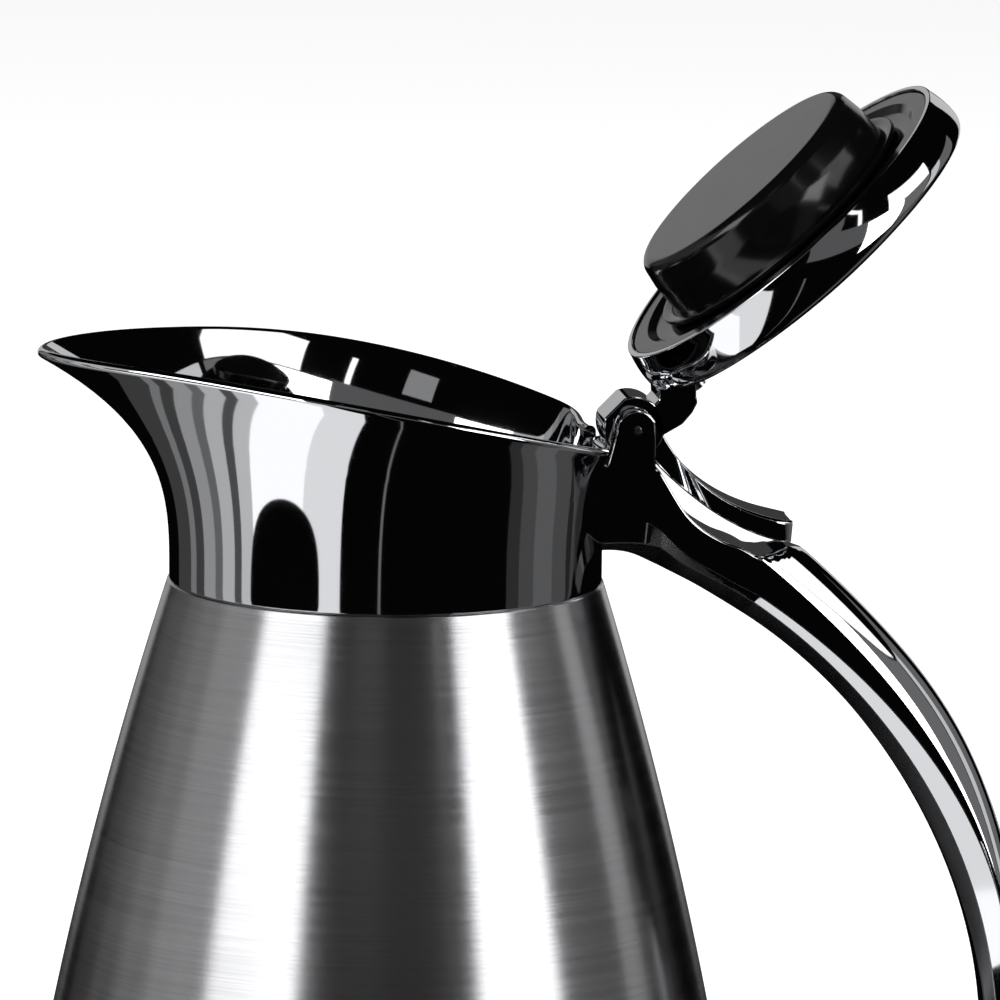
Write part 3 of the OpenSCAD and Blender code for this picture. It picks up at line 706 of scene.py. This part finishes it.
def ear_h(x):
    """Height of the two hinge ears over the floor at x: a ramp from the collar,
    then a round about the pin."""
    start, left, tall = COLLAR_R + 0.1, PIN_X - EAR_R, PIN_H - SLOT_H
    if x < start:
        return 1.5
    if x < left:
        return mix(1.5, tall, (x - start) / (left - start))
    if x < PIN_X + EAR_R + 0.001:
        return tall + math.sqrt(max(0.0, EAR_R**2 - (x - PIN_X) ** 2))
    return 0.4 * max(0.0, 1 - (x - PIN_X - EAR_R) / 0.9) ** 2


def grip_section(t):
    """Half of a section as (across, out): crease, ear or back, then middle; and
    the side's facets from the inside up to the crease."""
    w = grip_half(t)
    c, i = chain(CREASE, t), inner_point(t)
    deep = math.hypot(c[0] - i[0], c[1] - i[1])
    if t < 1:
        h = ear_h(c[0])
        back = [(w, 0.0), (w, h), (EAR_IN, h), (EAR_IN, 0.0), (4.4, 0.0), (2.2, 0.0), (0.0, 0.0)]
    else:
        shares = (1.0, 0.96, 0.86, 0.7, 0.5, 0.25, 0.0)
        back = [(w * x, min(floor_h(t), back_h(t) * (1 - x**2.4) ** 0.8)) for x in shares]
    slope, upright = slope_share(t), side_share(t)
    low = w - mix(0.4, 0.58, smooth(t - 0.3)) * (slope - upright) * deep
    inside = max(1.5, low - 1.2 * (1 - slope) * deep)
    corners = [(0.0, -deep), (inside, -deep, 1.0), (low, -slope * deep, 1.0)]
    side = rounded(corners + [(w, -upright * deep, 1.2), (w, 0.0)], 4)
    return back, side[:-1]


def t_at(x):
    """Where the crease's first, level stretch reaches x."""
    low, high = 0.0, 1.0
    for _ in range(30):
        mid = (low + high) / 2
        low, high = (mid, high) if bezier(CREASE[0], mid)[0] < x else (low, mid)
    return low


def make_handle():
    """The handle in one piece: sections carried from the collar's wall along the
    grip, with the ears standing on the first of them."""
    over_ear = [COLLAR_R - 1.4, COLLAR_R + 0.1, COLLAR_R + 0.7, COLLAR_R + 1.3]
    over_ear += [PIN_X - EAR_R * math.cos(math.radians(b)) for b in range(0, 181, 9)]
    over_ear += [PIN_X + EAR_R + d for d in (0.03, 0.2, 0.45, 0.85)]
    stops = [0.0] + [t_at(x) for x in over_ear] + [1.0]
    spans = ((1, LEVER_END, 40), (LEVER_END, BACK_STARTS, 24), (BACK_STARTS, 3, 70), (3, 4, 50))
    for a, b, steps in spans:
        stops += [a + (b - a) * k / steps for k in range(1, steps + 1)]
    points, sharp = [], []
    for row, t in enumerate(stops):
        t = min(t, LAST)
        c, i = chain(CREASE, t), inner_point(t)
        u = unit((c[0] - i[0], c[1] - i[1]))
        back, side = grip_section(t)
        ring = back + [(-x, y) for x, y in reversed(back[:-1])]
        ring += [(-x, y) for x, y in reversed(side[1:])] + side
        n = len(ring)
        for x, y in ring:
            if t < 1 and y > 0:
                spot = (c[0], x, BODY_H + c[1] + y)
            else:
                spot = (c[0] + u[0] * y, x, BODY_H + c[1] + u[1] * y)
            if row == 0:
                spot = (math.sqrt((COLLAR_R - 0.9) ** 2 - spot[1] ** 2), spot[1], spot[2])
            points.append(spot)
        m = 2 * len(back) - 1
        marks = (1, 2, m - 3, m - 2) if t < 1 else (0, m - 1)
        sharp += [(row * n + j, row * n + j + n) for j in marks]
    obj = piece(
        "handle_casting", points, ring_faces(len(stops), n), CHROME,
        "pot", ["handle"],
    )
    soften(obj, sharp, 0.4)
    drill(obj, (PIN_X, PIN_Z, EAR_BORE), -EAR_OUT, EAR_OUT)


def soften(obj, pairs, width):
    """Rounds only the edges between the pairs of points."""
    wanted = {tuple(sorted(p)) for p in pairs}
    mesh = obj.data
    weight = mesh.attributes.new("bevel_weight_edge", "FLOAT", "EDGE")
    for edge in mesh.edges:
        weight.data[edge.index].value = 1.0 if tuple(sorted(edge.vertices)) in wanted else 0.0
    mod = obj.modifiers.new("soft_edges", "BEVEL")
    mod.width, mod.segments, mod.limit_method = width * MM, 3, "WEIGHT"
    mod.use_clamp_overlap = False
    obj.modifiers.move(obj.modifiers.find(mod.name), 0)
    bake(obj, only="soft_edges")


def make_pin():
    """The pin's ends are riveted: slightly domed inside a turned ring."""
    ends = EAR_OUT - 0.15
    outline = [(0, -ends - 0.1), (1.1, -ends, 0.6), (1.3, -ends + 0.25, 0.1)]
    outline += [(1.5, -ends + 0.05, 0.1), (PIN_R, -ends + 0.1)]
    outline += [(c[0], -c[1], *c[2:]) for c in reversed(outline)]
    turned(
        "hinge_rod", outline, SCREW_STEEL, "pot", ["hinge_pin"], turns=48,
        move=lambda p: (PIN_X + p[0], p[2], PIN_Z - p[1]),
    )


# ---------------------------------------------------------------- lever

TONGUE_L = 34.2
TIP = (TONGUE_L, -21.5)
TOP = [(3.6, 4.0), (7.5, -7.2), (16.0, -16.6), (TIP[0] - 2, TIP[1] + 2.5)]
LOW = [(3.0, -5.8), (11.2, -15.0), (22.4, -22.4), (TIP[0] - 2.3, TIP[1] - 2)]
TONGUE_W = 7.8


def tongue_half(x):
    """Half width of the tongue at the distance x from the pin."""
    w = mix(KNUCKLE_W - 0.05, TONGUE_W, smooth((x - 9) / 5))
    over = max(0.0, x - (TONGUE_L - 5.5))
    return w - 0.13 * over * over


def make_lever():
    """The lever: a curved tongue with a dished top, the knuckle with a flat at its
    back, and the arm that reaches through the collar's slot to the lid."""
    stations, dish = 60, 0.35
    points = []
    for k in range(stations + 1):
        s = k / stations
        a, b = bezier(TOP, s), bezier(LOW, s)
        w = tongue_half((a[0] + b[0]) / 2)
        deep = math.hypot(a[0] - b[0], a[1] - b[1])
        sides = [(w, 0, 0.8), (w - 0.4, -deep, 0.8), (-w + 0.4, -deep, 0.8), (-w, 0, 0.8)]
        outline = rounded(sides + [(-w * 0.5, -dish, 6), (w * 0.5, -dish, 6)], 4)
        n = len(outline)
        u = unit((a[0] - b[0], a[1] - b[1]))
        points += [(PIN_X + a[0] + u[0] * y, x, PIN_Z + a[1] + u[1] * y) for x, y in outline]
    faces = ring_faces(stations + 1, n)
    piece("thumb_tongue", points, faces, CHROME, "lid", bevel=0.35)
    flat = math.degrees(math.acos((KNUCKLE_R - 0.6) / KNUCKLE_R))
    arc = [135 + flat + (360 - 2 * flat) * k / 72 for k in range(73)]
    rim = [
        (PIN_X + KNUCKLE_R * math.cos(math.radians(b)), PIN_Z + KNUCKLE_R * math.sin(math.radians(b)))
        for b in arc
    ]
    slab(
        "knuckle", rim, -KNUCKLE_W, KNUCKLE_W, CHROME, "lid", ["thumb_lever"],
        bevel=0.4, hole=(PIN_X, PIN_Z, KNUCKLE_BORE),
    )
    r = KNUCKLE_R
    arm = [
        (-2.6, r - 1.2), (-7.6, r - 0.1, 1.0), (-10.6, r - 0.5, 1.0), (-12.7, r - 1.3, 1.0),
        (-13.4, r - 2.5, 0.6), (-15.6, 1.2, 1.0), (-17, -2), (-14, -9.3), (-10, -9.3, 0.8),
        (-9.2, -7.2, 0.8), (-8.6, -4, 0.8), (-8.4, -2.2, 0.5), (-7.4, -0.9, 0.5), (-4, -0.6, 0.5),
        (-2.6, -0.4),
    ]
    arm = rounded(arm, 3)
    slab(
        "lid_arm", [(PIN_X + x, PIN_Z + z) for x, z in arm], -KNUCKLE_W, KNUCKLE_W,
        CHROME, "lid", bevel=0.45, move=opened,
    )


# ---------------------------------------------------------------- lid


def lid_point(p):
    """A point over the lid's edge, on its axis, moved to the open lid."""
    return opened((p[0], p[1], p[2] + BODY_H + LID_SEAT))


def make_lid():
    """The lid: a plated cover with a low crown, the moulding under it, the plug
    and its seal."""
    r, w, p = LID_R, LID_WALL, PLUG_R
    crown = []
    cr = r - 2.6
    edge = cr + 2.6 * math.cos(math.radians(75))
    for k in range(1, 13):
        x = edge * (1 - k / 12)
        crown.append((x, LID_SIDE + 4.8 * (1 - (x / cr) ** 2)))
    under = [(max(0.0, x - 0.2 * w), z - w) for x, z in reversed(crown)]
    top_z = LID_SIDE + 4.8 * (1 - (edge / cr) ** 2)
    flare = [(r - 1.0, 0.4), (r - 0.35, 2.6), (r, 4.6), (r, 6.4)]
    brow = [(r, 6.4), (r, 8.4), (edge + 1.5, top_z - 0.37), (edge, top_z)]
    cover = [(r - 1.0 - w, 0.0, 0.3), (r - 1.0, 0.0, 0.35)]
    cover += [bezier(flare, k / 10) for k in range(1, 10)] + [bezier(brow, k / 10) for k in range(11)]
    cover += crown
    cover += under
    cover += [(r - 3.2, LID_SIDE - w, 1.0), (r - w, 5.4), (r - 1.0 - w, 2.0)]
    turned("lid_cover", cover, CHROME, "lid", ["lid_dome"], turns=256, move=lid_point)
    d = r - 1.0 - w - 0.1
    dish = [
        (p + 0.05, 3.4), (p + 0.05, 1.6), (d - 5.2, 1.6, 0.5), (d - 3.6, 0.4, 0.6),
        (d, 0.4, 0.5), (d, 3.4),
    ]
    turned("lid_underside", dish, ABS, "lid", ["lid_dish"], turns=256, move=lid_point)
    inner = p - 2
    plug = [
        (0, -12.0), (p - 1.0, -12.0, 2.6), (p, -6.0, 8.0), (p, 3.4), (p + 4, 3.4), (p + 4, 5.4),
        (inner, 5.4), (inner, -10.0), (0, -10.0),
    ]
    turned(
        "lid_stopper", plug, ABS, "lid", ["lid_plug"],
        turns=256, steps=8, move=lid_point,
    )
    # the seal ends 0.3 above the neck ring's lip when the lid is closed
    low, top = SEAT_H + LIP_H + 0.3 - LID_SEAT, 1.55
    seal = [
        (p + 0.05, low), (SEAT_R + 1.4, low, 0.3), (SEAT_R + 1.4, low + 0.8, 0.3),
        (SEAT_R + 0.7, top), (p + 0.05, top),
    ]
    turned("lid_seal_ring", seal, ABS, "lid", ["lid_seal"], turns=192, move=lid_point)


# ---------------------------------------------------------------- inside and base


def make_inside():
    """The neck ring with its lip, and the flask in one wall down from its mouth."""
    web = BODY_H + SEAT_H - 2
    out, skirt = COLLAR_R - WALL - 0.3, NECK_OUT + 0.3
    seat = web + 2
    ring = [
        (SEAT_R, web), (skirt, web), (skirt, BODY_H + FLANGE), (skirt + 2.7, BODY_H + FLANGE),
        (skirt + 2.7, web), (out, web), (out, seat, 0.4), (SEAT_R + LIP_T, seat, 0.4),
        (SEAT_R + LIP_T, seat + LIP_H, 0.5), (SEAT_R, seat + LIP_H, 0.7),
    ]
    turned("neck_insert", ring, PP, "pot", ["neck_ring"], turns=192)
    inset, floor_z, bend = 7.8, 17.8, 144.0
    thin = FLASK_WALL
    heights = [mix(floor_z + 12, bend, k / 14) for k in range(15)]
    side = [(side_r(z) - inset, z) for z in heights]
    low_r, high_r = side_r(floor_z + 12) - inset, side_r(bend + 8) - inset
    outer = [(0, floor_z), (low_r - 1.5, floor_z, 11.0)] + side
    outer += [(high_r - 1.2, bend + 6, 8.0), (MOUTH_R + thin, bend + 12, 8.0)]
    outer += [(MOUTH_R + thin, MOUTH_Z - thin, 0.3), (NECK_OUT, MOUTH_Z - thin)]
    outer += [(NECK_OUT, MOUTH_Z, 0.3), (MOUTH_R, MOUTH_Z, 0.6)]
    inner = [(MOUTH_R, bend + 12, 8.0), (high_r - thin - 1.2, bend + 6, 8.0)]
    inner += [(x - thin, z) for x, z in reversed(side)]
    inner += [(low_r - thin - 1.5, floor_z + thin, 10.5), (0, floor_z + thin)]
    turned("flask_liner", outer + inner, DRAWN, "pot", ["inner_liner"], turns=192)


def ribs_tree():
    """Geometry Nodes: round ribs, one inside the other, under the soft pad."""
    tree = bpy.data.node_groups.new("round_ribs", "GeometryNodeTree")
    face = tree.interface
    face.new_socket("Geometry", in_out="INPUT", socket_type="NodeSocketGeometry")
    for name, value in (("First Radius", 12 * MM), ("Spacing", 6 * MM), ("Rib Width", 1.2 * MM)):
        face.new_socket(name, in_out="INPUT", socket_type="NodeSocketFloat").default_value = value
    face.new_socket("Count", in_out="INPUT", socket_type="NodeSocketInt").default_value = 9
    face.new_socket("Finish", in_out="INPUT", socket_type="NodeSocketMaterial")
    face.new_socket("Geometry", in_out="OUTPUT", socket_type="NodeSocketGeometry")
    given = add(tree, "NodeGroupInput").outputs
    result = add(tree, "NodeGroupOutput")
    spots = add(tree, "GeometryNodeMeshLine", {"Count": given["Count"]}, Offset=(0, 0, 0))
    circle = add(tree, "GeometryNodeCurvePrimitiveCircle", Resolution=160, Radius=1.0)
    number = add(tree, "GeometryNodeInputIndex").outputs[0]
    away = add(tree, "ShaderNodeMath", {0: number, 1: given["Spacing"]}, operation="MULTIPLY")
    radius = add(tree, "ShaderNodeMath", {0: away.outputs[0], 1: given["First Radius"]}, operation="ADD")
    size = add(tree, "ShaderNodeCombineXYZ", {0: radius.outputs[0], 1: radius.outputs[0]}, Z=1.0)
    many = add(
        tree,
        "GeometryNodeInstanceOnPoints",
        {"Points": spots.outputs[0], "Instance": circle.outputs[0], "Scale": size.outputs[0]},
    )
    real = add(tree, "GeometryNodeRealizeInstances", {"Geometry": many.outputs[0]})
    bead = add(tree, "GeometryNodeCurvePrimitiveCircle", {"Radius": given["Rib Width"]}, Resolution=10)
    tube = add(tree, "GeometryNodeCurveToMesh", {"Curve": real.outputs[0], "Profile Curve": bead.outputs[0]})
    soft = add(tree, "GeometryNodeSetShadeSmooth", {"Geometry": tube.outputs[0]})
    again = add(tree, "GeometryNodeRealizeInstances", {"Geometry": soft.outputs[0]})
    done = add(tree, "GeometryNodeSetMaterial", {"Geometry": again.outputs[0], "Material": given["Finish"]})
    tree.links.new(done.outputs[0], result.inputs[0])
    return tree


def make_base():
    """The base cover, and the soft pad with its ribs."""
    r = side_r(3) - 1.1
    cover = [
        (0, 3.0), (r - 0.6, 3.0, 0.3), (r - 0.3, 5.4, 1.0), (r - 0.8, 9.95), (r - 3.2, 9.95),
        (r - 3.2, 5.4, 0.8), (0, 5.4),
    ]
    turned("base_moulding", cover, PP, "pot", ["base_cover"], turns=192)
    out = side_r(3) - 3
    pad = [
        (0, 0.6), (out - 4, 0.6, 0.3), (out - 3.6, 0.0, 0.3), (out - 0.8, 0.0, 0.7), (out, 3.0), (0, 3.0),
    ]
    turned("standing_pad", pad, SILICONE, "pot", ["base_pad"], turns=192)
    ribs = from_nodes("pad_ribs", ribs_tree(), {"Finish": SILICONE})
    ribs.data.transform(Matrix.Translation((0, 0, 1.2 * MM)))
    ride(ribs, "pot")


# ---------------------------------------------------------------- studio


def card(name, az, el, mat, far=3.0, oval=False):
    """A studio card on a sphere round the pot, between two azimuths, counted
    from the camera's side towards +X, and two heights, in degrees. It shows
    only in reflections and casts no shadow."""

    def spot(a, e):
        a, e = math.radians(a), math.radians(e)
        return (far * math.sin(a) * math.cos(e), -far * math.cos(a) * math.cos(e), 0.2 + far * math.sin(e))

    if oval:
        mid = ((az[0] + az[1]) / 2, (el[0] + el[1]) / 2)
        half = ((az[1] - az[0]) / 2, (el[1] - el[0]) / 2)
        turns = [2 * math.pi * k / 40 for k in range(40)]
        points = [spot(mid[0] + half[0] * math.cos(b), mid[1] + half[1] * math.sin(b)) for b in turns]
        faces = [tuple(range(40))]
    else:
        across, high = max(1, round((az[1] - az[0]) / 5)), max(1, round((el[1] - el[0]) / 5))
        points = [
            spot(mix(*az, i / across), mix(*el, j / high))
            for i in range(across + 1)
            for j in range(high + 1)
        ]
        faces = [
            (k, k + high + 1, k + high + 2, k + 1)
            for i in range(across)
            for k in range(i * (high + 1), i * (high + 1) + high)
        ]
    mesh = bpy.data.meshes.new(name)
    mesh.from_pydata(points, [], faces)
    mesh.materials.append(mat)
    obj = bpy.data.objects.new(name, mesh)
    bpy.context.scene.collection.objects.link(obj)
    for ray in ("visible_camera", "visible_diffuse", "visible_transmission", "visible_shadow"):
        setattr(obj, ray, False)


def glow(name, hexcode, strength=1.0):
    """A card's own light, in a grey and a strength."""
    mat = bpy.data.materials.new(name)
    mat.use_nodes = True
    tree = mat.node_tree
    tree.nodes.clear()
    out = add(tree, "ShaderNodeOutputMaterial")
    light = add(tree, "ShaderNodeEmission", Color=tone(hexcode), Strength=strength)
    tree.links.new(light.outputs[0], out.inputs[0])
    return mat


def make_studio():
    """A black tent with grey and white cards for the reflections, a white table
    and room for the camera, and three soft lamps."""
    tent = glow("black_tent", "#050505")
    card("tent", (-180, 180), (-89.5, 89.5), tent, far=3.2)
    # greys with their azimuths: low ones show in the collar's flare, high ones in
    # the body and inside the collar
    low = [
        (-150, -133, "#383838"), (-133, -127, "#6E6E6E"), (-127, -119, "#3A3A3A"),
        (-119, -109, "#8A8A8A"), (-109, -103, "#5E5E5E"), (-103, -94, "#A8A8A8"),
        (-94, -89, "#484848"), (-89, -81, "#B4B4B4"), (-81, -52, "#FFFFFF"),
        (-52, -31, "#DADADA"), (-10.8, -9.6, "#707070"), (60, 68, "#303030"),
        (68, 78, "#4A4A4A"), (78, 92, "#5E5E5E"), (92, 104, "#4C4C4C"), (104, 114, "#262626"),
    ]
    for i, (a0, a1, code) in enumerate(low):
        power = 1.25 if a0 < -22 else 1.0
        card(f"low_card_{i:02d}", (a0, a1), (-64, -3), glow(f"low_grey_{i:02d}", code, power))
    card("round_flag", (-83, -42), (-23, 4), tent, far=2.9, oval=True)
    high = [
        (-155, -128, "#5A5A5A", 1.6), (-128, -116, "#747474", 1.4), (-116, -100, "#8A8A8A", 1.3),
        (-100, -72, "#B0B0B0", 1.2), (-74, -38, "#FFFFFF", 3.4), (29, 61, "#FFFFFF", 3.6),
        (61, 90, "#5C5C5C", 1.5),
        (92, 104, "#A0A0A0", 1.8), (104, 126, "#545454", 1.6),
    ]
    for i, (a0, a1, code, power) in enumerate(high):
        card(f"high_card_{i:02d}", (a0, a1), (-1, 25), glow(f"high_grey_{i:02d}", code, power))
    card("dim_front", (-38, 29), (9, 26), glow("dim_front_grey", "#484848", 1.6))
    soft = glow("softbox", "#FFFFFF", 1.4)
    card("window", (46, 89), (25.5, 38), soft)
    card("thin_window", (20, 23), (26, 38), soft)
    card("far_panel", (-23, -7), (29, 42), glow("far_grey", "#8C8C8C"))
    card("rear_panel", (177, 200), (-8, 26), glow("rear_grey", "#B3B3B3"))
    card("rear_strip", (148, 163), (-8, 22), glow("rear_pale", "#C8C8C8"))
    card("rear_dim", (163, 174), (-8, 22), glow("rear_dim_grey", "#3C3C3C"))

    world = bpy.data.worlds.new("white_room")
    bpy.context.scene.world = world
    world.use_nodes = True
    tree = world.node_tree
    tree.nodes.clear()
    out = add(tree, "ShaderNodeOutputWorld")
    path = add(tree, "ShaderNodeLightPath")
    seen = path.outputs["Is Camera Ray"]
    for ray in ("Is Glossy Ray", "Is Transmission Ray"):
        seen = add(tree, "ShaderNodeMath", {0: seen, 1: path.outputs[ray]}, operation="MAXIMUM").outputs[0]
    room = add(tree, "ShaderNodeBackground", Color=tone("#E8E8EA"), Strength=0.35)
    wall = add(tree, "ShaderNodeBackground", Color=tone("#FFFFFF"), Strength=1.0)
    both = add(tree, "ShaderNodeMixShader", {0: seen, 1: room.outputs[0], 2: wall.outputs[0]})
    tree.links.new(both.outputs[0], out.inputs[0])

    floor_mesh = bpy.data.meshes.new("floor")
    s = 6.0
    floor_mesh.from_pydata([(-s, -s, 0), (s, -s, 0), (s, s, 0), (-s, s, 0)], [], [(0, 1, 2, 3)])
    floor = bpy.data.objects.new("floor", floor_mesh)
    bpy.context.scene.collection.objects.link(floor)
    mat = bpy.data.materials.new("white_table")
    mat.use_nodes = True
    tree = mat.node_tree
    tree.nodes.clear()
    out = add(tree, "ShaderNodeOutputMaterial")
    path = add(tree, "ShaderNodeLightPath")
    matt = add(tree, "ShaderNodeBsdfDiffuse", Color=tone("#F2F2F2"))
    shine = add(tree, "ShaderNodeEmission", Color=tone("#FFFFFF"), Strength=0.64)
    summed = add(tree, "ShaderNodeAddShader", {0: matt.outputs[0], 1: shine.outputs[0]})
    seen = path.outputs["Is Camera Ray"]
    both = add(tree, "ShaderNodeMixShader", {0: seen, 1: matt.outputs[0], 2: summed.outputs[0]})
    tree.links.new(both.outputs[0], out.inputs[0])
    floor_mesh.materials.append(mat)
    floor.visible_glossy = False

    def lamp(name, az, el, far, size, power):
        data = bpy.data.lights.new(name, "AREA")
        data.energy = power
        data.size = size
        obj = bpy.data.objects.new(name, data)
        a, e = math.radians(az), math.radians(el)
        aim = Vector((0, 0, 0.15))
        spot = aim + Vector((math.sin(a) * math.cos(e), -math.cos(a) * math.cos(e), math.sin(e))) * far
        turn = (spot - aim).to_track_quat("Z", "Y").to_matrix().to_4x4()
        obj.matrix_world = Matrix.Translation(spot) @ turn
        bpy.context.scene.collection.objects.link(obj)
        obj.visible_glossy = False

    lamp("key", -48, 35, 1.4, 0.8, 9.0)
    lamp("fill", 50, 40, 1.4, 0.8, 7.0)
    lamp("rear", 160, 50, 1.5, 0.8, 6.0)


def make_camera():
    """A long lens, 2.5 m from the pot and a little above its rim."""
    az, el, roll = math.radians(-7.0), math.radians(9.8), math.radians(0.6)
    far = 2.5
    # the seam's centre is seen at this point of 1000 x 1000, at this scale
    per_mm, at = 5.02, (385.4, 578.3)
    seen = Vector((0, 0, BODY_H * MM))
    ahead = Vector((-math.sin(az) * math.cos(el), math.cos(az) * math.cos(el), -math.sin(el)))
    right = Vector((math.cos(az), math.sin(az), 0))
    up = right.cross(ahead)
    place = seen - ahead * far
    right_r = right * math.cos(roll) + up * math.sin(roll)
    up_r = up * math.cos(roll) - right * math.sin(roll)
    aim = seen + (right_r * (500 - at[0]) + up_r * (at[1] - 500)) / per_mm * MM
    back = (place - aim).normalized()
    x = up_r.cross(back).normalized()
    y = back.cross(x)
    data = bpy.data.cameras.new("camera")
    data.sensor_width = 36.0
    data.lens = 36.0 * far / (1000 / per_mm * MM)
    data.clip_end = 20
    cam = bpy.data.objects.new("camera", data)
    cam.matrix_world = Matrix.Translation(place) @ Matrix((x, y, back)).transposed().to_4x4()
    bpy.context.scene.collection.objects.link(cam)
    bpy.context.scene.camera = cam


def dress_nodes():
    """CAD nodes that stay, with the finish of what they are."""
    for node, mat in (
        ("outer_bottom", DRAWN), ("getter_cap", DRAWN), ("neck_gasket", SILICONE),
        ("collar_screws", SCREW_STEEL), ("lower_bracket", CHROME), ("lower_screw", SCREW_STEEL),
        ("hinge_bushes", ACETAL), ("plug_foam", FOAM), ("lid_screws", SCREW_STEEL),
    ):
        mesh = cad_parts[node].data
        mesh.materials.clear()
        mesh.materials.append(mat)


make_camera()
make_studio()
make_shell()
make_collar()
make_handle()
make_pin()
make_lever()
make_lid()
make_inside()
make_base()
dress_nodes()

scene = bpy.context.scene
scene.view_settings.view_transform = "Standard"
